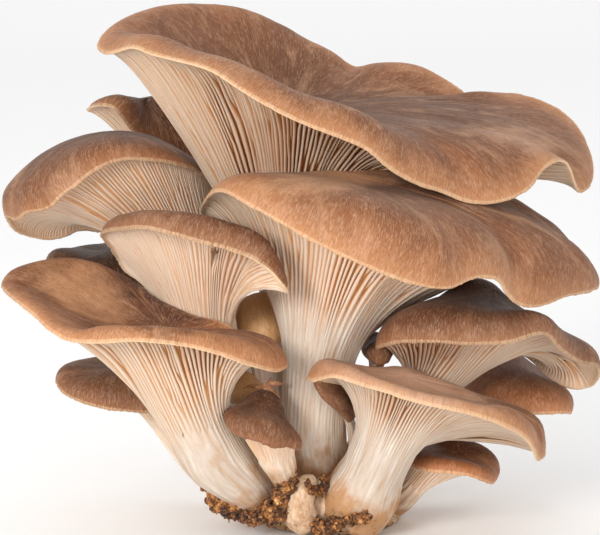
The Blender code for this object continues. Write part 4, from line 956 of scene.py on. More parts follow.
def noise_node(tree, vector, scale, detail=2.0, rough=0.5, distortion=0.0):
    n = node(tree, "ShaderNodeTexNoise")
    tree.links.new(vector, n.inputs["Vector"])
    n.inputs["Scale"].default_value = scale
    n.inputs["Detail"].default_value = detail
    n.inputs["Roughness"].default_value = rough
    n.inputs["Distortion"].default_value = distortion
    return n.outputs["Fac"]


def ramp(tree, fac, stops, mode="LINEAR"):
    n = node(tree, "ShaderNodeValToRGB")
    n.color_ramp.interpolation = mode
    els = n.color_ramp.elements
    while len(els) > 1:
        els.remove(els[-1])
    els[0].position = stops[0][0]
    els[0].color = colour(stops[0][1])
    for at, c in stops[1:]:
        e = els.new(at)
        e.color = colour(c)
    if not isinstance(fac, (int, float)):
        tree.links.new(fac, n.inputs[0])
    return n.outputs[0]


def colour(c):
    if isinstance(c, (int, float)):
        return (c, c, c, 1.0)
    return (*c, 1.0)


def map_range(tree, value, a, b, c=0.0, d=1.0, smooth=False):
    n = node(tree, "ShaderNodeMapRange", interpolation_type="SMOOTHSTEP" if smooth else "LINEAR")
    tree.links.new(value, n.inputs[0])
    for i, x in enumerate((a, b, c, d)):
        n.inputs[i + 1].default_value = x
    return n.outputs[0]


def mix(tree, fac, a, b, blend="MIX"):
    n = node(tree, "ShaderNodeMix", data_type="RGBA", blend_type=blend)
    if isinstance(fac, (int, float)):
        n.inputs[0].default_value = fac
    else:
        tree.links.new(fac, n.inputs[0])
    for sock, x in ((n.inputs[6], a), (n.inputs[7], b)):
        if isinstance(x, (tuple, list)):
            sock.default_value = colour(x)
        else:
            tree.links.new(x, sock)
    return n.outputs[2]


def bump(tree, height, strength, distance_mm, normal=None):
    n = node(tree, "ShaderNodeBump")
    n.inputs["Strength"].default_value = strength
    n.inputs["Distance"].default_value = distance_mm * METRE
    tree.links.new(height, n.inputs["Height"])
    if normal is not None:
        tree.links.new(normal, n.inputs["Normal"])
    return n.outputs[0]


def srgb(r, g, b):
    """Linear colour of a display colour."""
    return tuple(((c / 255 + 0.055) / 1.055) ** 2.4 if c / 255 > 0.04045 else c / 255 / 12.92 for c in (r, g, b))


def cap_material(name, dark=srgb(84, 48, 26), mid=srgb(122, 75, 45), tan=srgb(164, 112, 74), rim=srgb(192, 148, 106), reach=1.0, patchy=0.34, pale_part=0.5, shaded=0.7, lit=0.2, daubs=()):
    mat, tree, shader = nodes_of(name)
    link = tree.links.new
    ring, edge = attribute(tree, "ring", True), attribute(tree, "edge")
    broad = noise_node(tree, ring, 0.075, 3, 0.55)
    uneven = math_node(tree, "MULTIPLY_ADD", broad, 9.0, -4.5)
    wide = noise_node(tree, scaled(tree, ring, (1 / 1.3, 1 / 1.3, 1 / 9.0)), 1.0, 3, 0.6)
    uneven = math_node(tree, "ADD", uneven, math_node(tree, "MULTIPLY_ADD", wide, 6.0, -3.0))
    depth = math_node(tree, "ADD", edge, math_node(tree, "MULTIPLY", uneven, smooth_in(tree, edge)))
    base = ramp(tree, map_range(tree, depth, 0.0, 40.0 * reach), [
        (0.0, mix3(rim, tan, 0.3)), (0.012, mix3(rim, tan, 0.7)), (0.045, mix3(tan, mid, 0.08)), (0.13, mix3(tan, mid, 0.5)), (0.28, mid), (0.52, mix3(mid, dark, 0.4)), (1.0, dark)])
    # painted light: the front of the cap, found by the far attribute, is lightened toward tan
    front = map_range(tree, attribute(tree, "far"), 0.50, 0.12)
    base = mix(tree, math_node(tree, "MULTIPLY", front, lit), base, mix3(tan, rim, 0.2))
    # painted shade: the back of the cap, found by the far attribute, is darkened toward a deep brown
    far = map_range(tree, attribute(tree, "far"), 0.40, 0.95)
    base = mix(tree, math_node(tree, "MULTIPLY", far, shaded), base, mix3(dark, (0.03, 0.012, 0.006), 0.25))
    # painted highlights and painted shade, in soft patches
    base = daubed(tree, base, daubs)
    calm = attribute(tree, "thin")
    lively = map_range(tree, calm, 0.0, 1.0, 1.0, 0.0)
    # broad dark patches of tone, and pale patches of painted sheen
    blotch = map_range(tree, noise_node(tree, ring, 0.075, 4, 0.62), 0.44, 0.64)
    inside = map_range(tree, edge, 2.0, 9.0)
    base = mix(tree, math_node(tree, "MULTIPLY", math_node(tree, "MULTIPLY", blotch, math_node(tree, "MULTIPLY", inside, lively)), patchy), base, mix3(dark, mid, 0.2))
    pale_sheen_patch = map_range(tree, noise_node(tree, scaled(tree, ring, (1, 1, 0.6)), 0.11, 4, 0.6, 0.8), 0.50, 0.68)
    base = mix(tree, math_node(tree, "MULTIPLY", math_node(tree, "MULTIPLY", pale_sheen_patch, lively), pale_part), base, mix3(tan, (0.56, 0.36, 0.23), 0.35))
    # short pale fibrils lying along the radius
    fibre = noise_node(tree, scaled(tree, ring, (1 / 0.26, 1 / 0.26, 1 / 1.5)), 1.0, 2, 0.65, 0.5)
    fibre2 = noise_node(tree, scaled(tree, ring, (1 / 0.6, 1 / 0.6, 1 / 4.0)), 1.0, 2, 0.6, 0.4)
    pale = map_range(tree, math_node(tree, "ADD", fibre, math_node(tree, "MULTIPLY_ADD", fibre2, 0.7, -0.35)), 0.50, 0.72)
    spot = node(tree, "ShaderNodeTexCoord").outputs["Object"]
    plain = noise_node(tree, spot, 1500, 3, 0.6)
    pale = math_node(tree, "ADD", math_node(tree, "MULTIPLY", pale, lively), math_node(tree, "MULTIPLY", map_range(tree, plain, 0.5, 0.7), calm))
    base = mix(tree, math_node(tree, "MULTIPLY", pale, 0.34), base, mix3(tan, (0.80, 0.62, 0.48), 0.42))
    dim = map_range(tree, math_node(tree, "ADD", fibre, math_node(tree, "MULTIPLY_ADD", wide, 0.5, -0.25)), 0.5, 0.32)
    base = mix(tree, math_node(tree, "MULTIPLY", math_node(tree, "MULTIPLY", dim, lively), 0.34), base, mix3(dark, (0.05, 0.02, 0.01), 0.3))
    speck = map_range(tree, noise_node(tree, scaled(tree, ring, (1, 1, 0.35)), 2.6, 2, 0.5), 0.66, 0.74)
    base = mix(tree, math_node(tree, "MULTIPLY", math_node(tree, "MULTIPLY", speck, lively), 0.22), base, (0.72, 0.55, 0.40))
    # the margin: a thin cream line, broken into bright and dark grains
    grain = noise_node(tree, scaled(tree, ring, (1 / 0.45, 1 / 0.45, 1 / 0.5)), 1.0, 2, 0.6)
    line = map_range(tree, math_node(tree, "ADD", edge, math_node(tree, "MULTIPLY_ADD", grain, 1.2, -0.6)), 1.0, 0.3)
    base = mix(tree, math_node(tree, "MULTIPLY", line, 0.85), base, mix3(rim, srgb(230, 204, 170), 0.65))
    burnt = map_range(tree, grain, 0.36, 0.30)
    base = mix(tree, math_node(tree, "MULTIPLY", math_node(tree, "MULTIPLY", burnt, map_range(tree, edge, 1.2, 0.3)), 0.6), base, mix3(mid, tan, 0.5))
    link(base, shader.inputs["Base Color"])
    rough = map_range(tree, fibre, 0.3, 0.7, 0.72, 0.56)
    link(rough, shader.inputs["Roughness"])
    height = math_node(tree, "MULTIPLY", math_node(tree, "ADD", fibre, math_node(tree, "MULTIPLY", fibre2, 0.8)), lively)
    link(bump(tree, height, 0.35, 0.12), shader.inputs["Normal"])
    shader.inputs["Specular IOR Level"].default_value = 0.28
    shader.inputs["Sheen Weight"].default_value = 0.05
    shader.inputs["Sheen Roughness"].default_value = 0.45
    shader.inputs["Sheen Tint"].default_value = (1.0, 0.9, 0.82, 1.0)
    return mat


def daubed(tree, base, daubs):
    """Broad soft patches of another tone, used for painted highlights and painted shade: (across, down, depth, half
    width, half height, lean, colour, strength).
    """
    spot = node(tree, "ShaderNodeTexCoord").outputs["Object"]
    wobble = math_node(tree, "MULTIPLY_ADD", noise_node(tree, spot, 150, 3, 0.6), 1.4, -0.7)
    for across, down, depth, wide, tall, lean, tone, strength in daubs:
        middle = place(across, down, depth) / 1000
        off = node(tree, "ShaderNodeVectorMath", operation="SUBTRACT")
        tree.links.new(spot, off.inputs[0])
        off.inputs[1].default_value = tuple(float(c) for c in middle)
        c, s = math.cos(math.radians(lean)), math.sin(math.radians(lean))
        parts = []
        for axis, size in ((RIGHT * c - UPWARDS * s, wide), (RIGHT * s + UPWARDS * c, tall)):
            dot = node(tree, "ShaderNodeVectorMath", operation="DOT_PRODUCT")
            tree.links.new(off.outputs[0], dot.inputs[0])
            dot.inputs[1].default_value = tuple(float(x) * 1000 / (size * GRID) for x in axis)
            parts.append(math_node(tree, "MULTIPLY", dot.outputs["Value"], dot.outputs["Value"]))
        apart = math_node(tree, "ADD", math_node(tree, "SQRT", math_node(tree, "ADD", *parts)), wobble)
        share = map_range(tree, apart, 1.25, 0.35, 0.0, strength, smooth=True)
        base = mix(tree, share, base, tone)
    return base


def mix3(a, b, t):
    return tuple(x * (1 - t) + y * t for x, y in zip(a, b))


def smooth_in(tree, edge):
    return map_range(tree, edge, 0.6, 6.0, 0.05, 1.0)


def flesh_material(name, spread, length, stain=0.85, ridge=srgb(234, 216, 198), wall=srgb(220, 164, 108), valley_shade=srgb(188, 100, 34),
                   pale=srgb(228, 213, 198), tan=srgb(206, 174, 142), gill_end=0.0, light=1.0, daubs=()):
    """Gills and stem in one. spread: how much wider round the shading coordinates are than the stem. light: painted
    shade, dimming every flesh colour of a mushroom that catches more light.
    """
    # painted shade: light dims every flesh colour of this mushroom
    ridge, wall, valley_shade, pale, tan = (tuple(c * light for c in colour) for colour in (ridge, wall, valley_shade, pale, tan))
    mat, tree, shader = nodes_of(name)
    link = tree.links.new
    ring, edge = attribute(tree, "ring", True), attribute(tree, "edge")
    depth, down = attribute(tree, "depth"), attribute(tree, "down")
    # gills: cream ridges; the tan walls and orange-brown bottoms are painted shade, darker the deeper the valley
    gill = ramp(tree, map_range(tree, depth, 0.0, 2.6), [(0.0, ridge), (0.12, mix3(ridge, wall, 0.4)), (0.42, wall), (1.0, valley_shade)])
    grain = noise_node(tree, scaled(tree, ring, (1 / 0.5, 1 / 0.5, 1 / 3.0)), 1.0, 3, 0.6)
    gill = mix(tree, map_range(tree, grain, 0.45, 0.75, 0.0, 0.3), gill, mix3(wall, ridge, 0.35))
    lines = noise_node(tree, scaled(tree, ring, (1 / 0.38, 1 / 0.38, 1 / 45.0)), 1.0, 2, 0.6)
    gill = mix(tree, map_range(tree, lines, 0.5, 0.7, 0.0, 0.35), gill, mix3(wall, valley_shade, 0.25))
    patch = noise_node(tree, ring, 0.09, 3, 0.5)
    gill = mix(tree, map_range(tree, patch, 0.45, 0.75, 0.0, 0.25), gill, mix3(wall, ridge, 0.5))
    near = map_range(tree, edge, 2.5, 0.0, 0.0, 0.5)
    gill = mix(tree, near, gill, srgb(212, 166, 118))
    if daubs:  # painted shade, mostly down between the blades
        gill = mix(tree, map_range(tree, depth, 0.0, 1.1, 0.25, 1.0), gill, daubed(tree, gill, daubs))
    # stem: ivory, with long pale and tan fibres
    k = 1 / spread
    fibre = noise_node(tree, scaled(tree, ring, (k / 0.45, k / 0.45, 1 / 9.0)), 1.0, 3, 0.62, 0.3)
    strand = noise_node(tree, scaled(tree, ring, (k / 1.5, k / 1.5, 1 / 22.0)), 1.0, 3, 0.55, 0.5)
    stem = ramp(tree, math_node(tree, "MULTIPLY_ADD", fibre, 0.45, math_node(tree, "MULTIPLY", strand, 0.55)), [
        (0.34, tan), (0.45, mix3(pale, tan, 0.35)), (0.55, pale), (0.75, srgb(234, 224, 210))])
    spots = noise_node(tree, scaled(tree, ring, (k, k, 0.5)), 0.22, 4, 0.6)
    low = map_range(tree, down, length - 20.0, length - 3.0)
    dirt = math_node(tree, "MULTIPLY", map_range(tree, math_node(tree, "MULTIPLY_ADD", low, 0.36, spots), 0.60, 0.84), stain)
    stem = mix(tree, dirt, stem, srgb(178, 128, 78))
    speck = noise_node(tree, scaled(tree, ring, (k, k, 0.8)), 1.1, 3, 0.7)
    mark = math_node(tree, "MULTIPLY", map_range(tree, math_node(tree, "MULTIPLY_ADD", low, 0.22, speck), 0.78, 0.9), 0.8 * stain)
    stem = mix(tree, mark, stem, srgb(104, 62, 32))
    # the ridges fade out unevenly down the stem
    reach = math_node(tree, "MULTIPLY_ADD", strand, 24.0, -12.0)
    share = map_range(tree, math_node(tree, "ADD", down, reach), gill_end + 10.0, gill_end - 10.0, smooth=True)
    base = mix(tree, share, stem, gill)
    link(base, shader.inputs["Base Color"])
    shader.inputs["Roughness"].default_value = 0.6
    shader.inputs["Specular IOR Level"].default_value = 0.3
    height = math_node(tree, "ADD", math_node(tree, "MULTIPLY", grain, share), math_node(tree, "MULTIPLY", math_node(tree, "ADD", fibre, strand), math_node(tree, "SUBTRACT", 1.0, share)))
    link(bump(tree, height, 0.35, 0.15), shader.inputs["Normal"])
    shader.inputs["Subsurface Weight"].default_value = 0.2
    shader.inputs["Subsurface Radius"].default_value = (1.0, 0.55, 0.28)
    shader.inputs["Subsurface Scale"].default_value = 0.0012
    return mat


def earth_material(name):
    """Crumbs of growing substrate: dark, with brown and straw-coloured grains."""
    mat, tree, shader = nodes_of(name)
    link = tree.links.new
    spot = node(tree, "ShaderNodeTexCoord").outputs["Object"]
    grain = noise_node(tree, spot, 1400, 4, 0.7)
    lump = noise_node(tree, spot, 330, 3, 0.6)
    cells = node(tree, "ShaderNodeTexVoronoi")
    link(spot, cells.inputs["Vector"])
    cells.inputs["Scale"].default_value = 900
    tone = math_node(tree, "ADD", math_node(tree, "MULTIPLY", grain, 0.5), math_node(tree, "MULTIPLY", lump, 0.5))
    base = ramp(tree, tone, [(0.36, srgb(24, 15, 10)), (0.44, srgb(52, 32, 20)), (0.50, srgb(112, 68, 34)), (0.56, srgb(166, 108, 54)), (0.62, srgb(204, 156, 98)), (0.72, srgb(232, 204, 164))])
    base = mix(tree, map_range(tree, cells.outputs["Distance"], 0.0, 0.5, 0.5, 0.0), base, srgb(30, 20, 14))
    link(base, shader.inputs["Base Color"])
    shader.inputs["Roughness"].default_value = 0.8
    link(bump(tree, grain, 0.8, 0.3), shader.inputs["Normal"])
    return mat


def base_material(name):
    """The fused flesh of the base: tan, fibrous, with brown stains and dark crumbs low down."""
    mat, tree, shader = nodes_of(name)
    link = tree.links.new
    spot = node(tree, "ShaderNodeTexCoord").outputs["Object"]
    up = node(tree, "ShaderNodeSeparateXYZ")
    link(spot, up.inputs[0])
    fibre = noise_node(tree, scaled(tree, spot, (1500, 1500, 260)), 1.0, 3, 0.6, 0.5)
    patch = noise_node(tree, spot, 130, 4, 0.6)
    base = ramp(tree, math_node(tree, "MULTIPLY_ADD", fibre, 0.35, math_node(tree, "MULTIPLY", patch, 0.65)), [
        (0.34, srgb(186, 138, 88)), (0.46, srgb(212, 174, 128)), (0.58, srgb(230, 204, 168)), (0.7, srgb(240, 224, 200))])
    low = map_range(tree, up.outputs[2], 0.012, 0.0005)
    speck = noise_node(tree, spot, 700, 4, 0.7)
    stain = map_range(tree, math_node(tree, "MULTIPLY_ADD", low, 0.25, noise_node(tree, spot, 240, 4, 0.65)), 0.56, 0.78)
    base = mix(tree, math_node(tree, "MULTIPLY", stain, 0.75), base, srgb(150, 100, 56))
    dark = map_range(tree, math_node(tree, "MULTIPLY_ADD", low, 0.2, speck), 0.7, 0.78)
    base = mix(tree, dark, base, srgb(58, 36, 22))
    link(base, shader.inputs["Base Color"])
    shader.inputs["Roughness"].default_value = 0.7
    link(bump(tree, math_node(tree, "ADD", fibre, speck), 0.5, 0.25), shader.inputs["Normal"])
    return mat


def skin_material(name):
    mat, tree, shader = nodes_of(name)
    spot = node(tree, "ShaderNodeTexCoord").outputs["Object"]
    tone = noise_node(tree, spot, 900, 3, 0.6)
    tree.links.new(ramp(tree, tone, [(0.35, srgb(128, 80, 52)), (0.55, srgb(172, 118, 84)), (0.7, srgb(204, 158, 122))]), shader.inputs["Base Color"])
    shader.inputs["Roughness"].default_value = 0.6
    tree.links.new(bump(tree, tone, 0.5, 0.2), shader.inputs["Normal"])
    return mat


def bulb_material(name):
    """Smooth tan flesh of the knob at the foot, browner low down."""
    mat, tree, shader = nodes_of(name)
    link = tree.links.new
    spot = node(tree, "ShaderNodeTexCoord").outputs["Object"]
    up = node(tree, "ShaderNodeSeparateXYZ")
    link(spot, up.inputs[0])
    fibre = noise_node(tree, scaled(tree, spot, (1300, 1300, 220)), 1.0, 3, 0.6, 0.6)
    patch = noise_node(tree, spot, 190, 4, 0.6)
    base = ramp(tree, math_node(tree, "MULTIPLY_ADD", fibre, 0.4, math_node(tree, "MULTIPLY", patch, 0.6)), [
        (0.36, srgb(176, 136, 100)), (0.47, srgb(200, 168, 136)), (0.58, srgb(216, 190, 162)), (0.7, srgb(226, 208, 186))])
    low = map_range(tree, up.outputs[2], 0.010, 0.0)
    stain = map_range(tree, math_node(tree, "MULTIPLY_ADD", low, 0.22, noise_node(tree, spot, 420, 4, 0.7)), 0.56, 0.74)
    base = mix(tree, math_node(tree, "MULTIPLY", stain, 0.7), base, srgb(142, 88, 44))
    link(base, shader.inputs["Base Color"])
    shader.inputs["Roughness"].default_value = 0.6
    link(bump(tree, math_node(tree, "ADD", fibre, patch), 0.4, 0.2), shader.inputs["Normal"])
    return mat


# ---- the base ----
BASE_CENTRE = (2.0, 5.0)
BASE_LIP = 1.2
BASE_DOME = 5.0
BASE_OUTLINE = [26, 26, 26, 27, 27, 25, 21, 17, 20, 23, 26, 26]
BASE_SWELLINGS = [(-1, -12, 5.5, 6, 11), (0, 10, 13, 9, 11), (4.5, -4, 7, 6, 7), (12, 10, 8, 8, 3), (-10, 14, 7, 8, 3)]


def base_radius(angle):
    n = len(BASE_OUTLINE)
    t = angle % (2 * np.pi) / (2 * np.pi) * n
    i = np.floor(t).astype(int) % n
    f = t - np.floor(t)
    f = f * f * (3 - 2 * f)
    outline = np.array(BASE_OUTLINE, float)
    return outline[i] * (1 - f) + outline[(i + 1) % n] * f


def base_height(x, y, share):
    h = BASE_DOME
    for bx, by, wx, wy, rise in BASE_SWELLINGS:
        h = h + rise * np.exp(-(((x - bx) / wx) ** 2) - ((y - by) / wy) ** 2)
    return BASE_LIP + h * np.sqrt(np.clip(1 - share**4, 0, 1))


def base_piece(materials):
    sides = 200
    angle = np.arange(sides) / sides * 2 * np.pi
    radius = base_radius(angle)
    levels = [(k, 0.0) for k in np.linspace(0.08, 0.93, 18)] + [(0.955, 0.15), (0.985, 0.5), (1.0, BASE_LIP)]
    levels += [(k, None) for k in np.sin(np.linspace(np.pi / 2, 0, 46))[1:-1]]
    rings = []
    for share, z in levels:
        x = BASE_CENTRE[0] + radius * share * np.cos(angle)
        y = BASE_CENTRE[1] + radius * share * np.sin(angle)
        rings.append(np.stack([x, y, base_height(x, y, share) if z is None else np.full(sides, z)], 1))
    grid = np.stack(rings, 1)
    nrm = sheet_normals(grid)
    if nrm[:, 30, 2].mean() < 0:
        nrm = -nrm
    rough = 0.55 * noise(grid, 5.0, 31) + 0.3 * noise(grid * [1, 1, 0.5], 1.8, 32) + 0.12 * noise(grid, 0.7, 33)
    free = smoothstep(0.0, 2.5, grid[..., 2])
    grid = grid + nrm * (rough * free)[..., None]
    flat = grid[:, :18]
    flat[..., 2] += 0.0
    s = Surface()
    ids = [s.ring(grid[:, i], ring=grid[:, i]) for i in range(grid.shape[1])]
    for a, b in zip(ids[:-1], ids[1:]):
        s.band(a, b, 0)
    cx, cy = BASE_CENTRE
    s.fan(ids[0], np.array([cx, cy, 0.0]), dict(ring=np.array([[cx, cy, 0.0]])), 0, True)
    top = grid[:, -1].mean(0)
    s.fan(ids[-1], top, dict(ring=top[None]), 0, False)
    points = np.concatenate(s.points)
    faces = s.faces
    if volume(points, faces) < 0:
        faces = [f[:, ::-1] for f in faces]
    return make_mesh("base_clump_skin", points, faces, s.kinds, {}, materials)


# ---- substrate ----
# Chains of crumbs along the feet: (across, down, depth, radius in mm)
CRUMBS = {
    "crust_left": [(198, 472, -14, 1.1), (203, 478, -15.5, 1.6), (206, 486, -16, 1.3), (212, 489, -16.5, 2.4), (218, 497, -17, 3.0), (224, 504, -17.5, 3.2), (231, 509, -18.5, 2.7), (238, 513, -19, 1.9), (218, 506, -17, 1.6), (229, 515, -18, 1.7), (243, 518, -19, 1.2)],
    "crust_front_left": [(290, 477, -26.5, 2.1), (286, 483, -26.5, 2.9), (283, 491, -26.5, 2.0), (279, 497, -26, 2.4), (279, 505, -25.5, 3.1), (272, 511, -24.5, 2.3), (264, 514, -23.5, 3.0), (254, 516, -22, 2.7), (246, 517, -21, 1.6), (288, 499, -26, 1.2), (285, 514, -25, 1.8), (276, 519, -24, 1.3), (266, 503, -25, 0.9)],
    "crust_front_right": [(314, 522, -24, 1.5), (319, 526, -25.5, 2.4), (327, 528, -26.5, 2.7), (335, 526, -27.5, 2.0), (345, 521, -28, 1.1), (354, 519, -28.5, 1.7), (362, 517, -28.5, 1.9), (369, 518, -28, 1.1), (330, 520, -27, 1.0),
                          (308, 484, -27.5, 1.0), (312, 490, -26, 1.3), (319, 491, -22.5, 1.5), (325, 486, -21.5, 1.4), (324, 479, -20.5, 1.1)],
}


def crust_piece(name, chain, seed, mat):
    rng = np.random.default_rng(90 + seed)
    bm = bmesh.new()
    for k, (across, down, depth, size) in enumerate(chain):
        centre = place(across, down, depth)
        grains = [(centre, 0.8 * size)]
        for _each in range(int(14 + 16 * size)):
            way = unit(rng.normal(size=3)[None])[0]
            grains.append((centre + way * size * rng.uniform(0.6, 1.3), rng.uniform(0.2, 0.75) ** 1.5 * (0.9 + 0.3 * size)))
        for at, radius in grains:
            at = at.copy()
            at[2] = max(at[2], radius * 0.8 + 0.1)
            ball = bmesh.ops.create_icosphere(bm, subdivisions=1, radius=radius * METRE)["verts"]
            squash = rng.uniform(0.7, 1.25, 3)
            for v in ball:
                v.co = Vector(v.co * Vector(squash)) + Vector(at * METRE)
    rough = bpy.data.meshes.new(name + "_grains")
    bm.to_mesh(rough)
    bm.free()
    obj = bpy.data.objects.new(name + "_crumbs", rough)
    bpy.context.scene.collection.objects.link(obj)
    remesh = obj.modifiers.new("skin", "REMESH")
    remesh.mode = "VOXEL"
    remesh.voxel_size = 0.30 * METRE
    graph = bpy.context.evaluated_depsgraph_get()
    mesh = bpy.data.meshes.new_from_object(obj.evaluated_get(graph), depsgraph=graph)
    obj.modifiers.clear()
    obj.data = mesh
    bpy.data.meshes.remove(rough)
    mesh.name = name + "_crumbs"
    co = np.empty(len(mesh.vertices) * 3)
    mesh.vertices.foreach_get("co", co)
    nrm = np.empty(len(mesh.vertices) * 3)
    mesh.vertices.foreach_get("normal", nrm)
    q, nrm = co.reshape(-1, 3) / METRE, nrm.reshape(-1, 3)
    q = q + nrm * (0.16 * noise(q, 0.55, seed) + 0.12 * noise(q, 1.3, seed + 5))[:, None]
    q[:, 2] = np.maximum(q[:, 2], 0.05 + 0.02 * (q[:, 2] - q[:, 2].min()))
    mesh.vertices.foreach_set("co", (q * METRE).astype(np.float32).ravel())
    mesh.materials.clear()
    mesh.materials.append(mat)
    mesh.shade_smooth()
    return obj


# ---- the knob between the feet, and small lumps of flesh beside it ----
KNOB = [(305, 476, -19, 1.6), (307, 482, -21, 3.0), (303, 491, -23, 3.9), (300, 502, -24, 4.3), (300, 511, -23.5, 4.7), (302, 519, -22, 4.9), (305, 526, -20, 4.0)]
LUMP = [(317, 478, -17, 1.5), (322, 485, -18, 2.6), (325, 496, -18.5, 3.0), (322, 507, -18.5, 3.2), (318, 520, -18, 3.4)]


def knob_piece(name, chain, seed, mat):
    chain = np.array(chain, float)
    run = spline(np.hstack([place(chain[:, 0], chain[:, 1], chain[:, 2]), chain[:, 3:]]), False, 60)
    along = unit(np.gradient(run[:, :3], axis=0))
    sides = 96
    turn = np.arange(sides) / sides * 2 * np.pi
    side = unit(np.cross(along, INTO))
    other = np.cross(side, along)
    share = np.linspace(0, 1, len(run))
    round_end = np.sqrt(np.clip(1 - np.clip(1 - share / 0.14, 0, 1) ** 2, 0.02, 1)) * np.sqrt(np.clip(1 - np.clip(1 - (1 - share) / 0.14, 0, 1) ** 2, 0.02, 1))
    grid = run[None, :, :3] + (np.cos(turn)[:, None, None] * side[None] + np.sin(turn)[:, None, None] * other[None]) * (run[:, 3] * round_end)[None, :, None]
    nrm = unit(grid - run[None, :, :3])
    rough = 0.5 * noise(grid, 4.2, 70 + seed) + 0.22 * noise(grid * [1, 1, 0.4], 1.5, 71 + seed) + 0.07 * noise(grid, 0.5, 72 + seed)
    grid = grid + nrm * (rough * round_end[None])[..., None]
    s = Surface()
    ids = [s.ring(grid[:, i], ring=grid[:, i]) for i in range(grid.shape[1])]
    for a, b in zip(ids[:-1], ids[1:]):
        s.band(a, b, 0)
    s.fan(ids[0], grid[:, 0].mean(0), dict(ring=grid[:1, 0]), 0, True)
    s.fan(ids[-1], grid[:, -1].mean(0), dict(ring=grid[:1, -1]), 0, False)
    points = np.concatenate(s.points)
    faces = s.faces
    if volume(points, faces) < 0:
        faces = [f[:, ::-1] for f in faces]
    return make_mesh(name, points, faces, s.kinds, {}, [mat])


# ---- torn skin beside the little button ----
SHREDS = [  # from, to (across, down, depth), width in mm
    ((262, 388, -27.5), (285, 384, -26.0), 2.6),
    ((262, 389, -27.5), (281, 396, -27.0), 2.4),
    ((263, 389, -28.0), (279, 406, -29.0), 2.0),
    ((262, 388, -27.5), (244, 388, -25.0), 1.6),
    ((261, 387, -27.5), (272, 378, -26.0), 1.3),
]


def shred_piece(name, mat):
    points, faces = [], []
    sides, rows = 10, 16
    for k, (a, b, width) in enumerate(SHREDS):
        a, b = place(*a), place(*b)
        way = b - a
        length = np.linalg.norm(way)
        way = way / length
        side = unit(np.cross(way, INTO)[None])[0]
        lift = np.cross(side, way)
        start = sum(len(p) for p in points)
        t = np.linspace(0, 1, rows)
        line = a + way * (t * length)[:, None] + side * (0.10 * length * np.sin(t * 3.1 + k))[:, None] - lift * (0.06 * length * np.sin(t * np.pi))[:, None]
        taper = np.sin(np.clip(0.12 + t * 0.95, 0, 1) * np.pi) ** 0.5 * (1 - 0.55 * t)
        for i in range(rows):
            turn = np.linspace(0, 2 * np.pi, sides, endpoint=False) + 0.5 * np.sin(3 * t[i] + k)
            ragged = 1 + 0.35 * noise(np.stack([np.cos(turn) * 2, np.full(sides, t[i] * 9), np.full(sides, k * 3.3)], 1), 1.0, 61)
            w = width * max(taper[i], 0.15) * 0.5
            points.append(line[i] + side * (np.cos(turn) * w * ragged)[:, None] + lift * (np.sin(turn) * (0.22 + 0.12 * w) * ragged)[:, None])
        ids = start + np.arange(rows * sides).reshape(rows, sides)
        for i in range(rows - 1):
            faces.append(np.stack([ids[i], np.roll(ids[i], -1), np.roll(ids[i + 1], -1), ids[i + 1]], 1))
        base = start + rows * sides
        points.append(np.stack([line[0] - way * 0.1, line[-1] + way * 0.2]))
        faces.append(np.stack([np.full(sides, base), np.roll(ids[0], -1), ids[0]], 1))
        faces.append(np.stack([np.full(sides, base + 1), ids[-1], np.roll(ids[-1], -1)], 1))
    points = np.concatenate(points)
    if volume(points, faces) < 0:
        faces = [f[:, ::-1] for f in faces]
    return make_mesh(name, points, faces, [np.zeros(len(f)) for f in faces], {}, [mat])


# ---- camera, light and floor ----
def studio():
    scene = bpy.context.scene
    scene.view_settings.view_transform = "Standard"
    cam = bpy.data.cameras.new("camera")
    cam.lens = 160.0
    cam.sensor_width = 36.0
    cam.clip_start, cam.clip_end = 0.05, 20.0
    camera = bpy.data.objects.new("camera", cam)
    scene.collection.objects.link(camera)
    eye = MIDDLE - INTO * STATION
    camera.location = Vector(eye * METRE)
    camera.rotation_euler = (math.radians(90) - STATION_RISE, 0, 0)
    scene.camera = camera

    def area(name, at, size, power, tint=(1, 1, 1), look=(0, 0, 0.07)):
        light = bpy.data.lights.new(name, "AREA")
        light.shape = "DISK"
        light.size = size
        light.energy = power
        light.color = tint
        obj = bpy.data.objects.new(name, light)
        obj.location = at
        obj.rotation_euler = (Vector(look) - Vector(at)).to_track_quat("-Z", "Y").to_euler()
        scene.collection.objects.link(obj)

    area("key", (-0.50, -0.90, 0.40), 0.36, 7.4, (1.0, 0.98, 0.95))
    area("fill", (0.45, -0.95, 0.12), 0.6, 3.0, (1.0, 0.99, 0.97))
    world = bpy.data.worlds.new("studio")
    world.use_nodes = True
    world.node_tree.nodes["Background"].inputs[0].default_value = (1.0, 1.0, 1.0, 1.0)
    world.node_tree.nodes["Background"].inputs[1].default_value = 0.98
    scene.world = world

    # a floor that sweeps up behind, far away
    profile = [(-2.4, 0.0), (2.2, 0.0)]
    profile += [(2.2 + 0.8 * math.sin(a), 0.8 - 0.8 * math.cos(a)) for a in np.linspace(0.1, math.pi / 2, 14)]
    profile += [(3.0, 2.4)]
    bm = bmesh.new()
    lines = [[bm.verts.new((x, y, z)) for y, z in profile] for x in (-3.0, 3.0)]
    for i in range(len(profile) - 1):
        bm.faces.new((lines[0][i], lines[1][i], lines[1][i + 1], lines[0][i + 1]))
    mesh = bpy.data.meshes.new("floor")
    bm.to_mesh(mesh)
    bm.free()
    mesh.shade_smooth()
    floor = bpy.data.objects.new("floor", mesh)
    scene.collection.objects.link(floor)
    mat, tree, shader = nodes_of("floor_white")
    shader.inputs["Base Color"].default_value = (0.93, 0.93, 0.93, 1)
    shader.inputs["Roughness"].default_value = 0.9
    mesh.materials.append(mat)


studio()

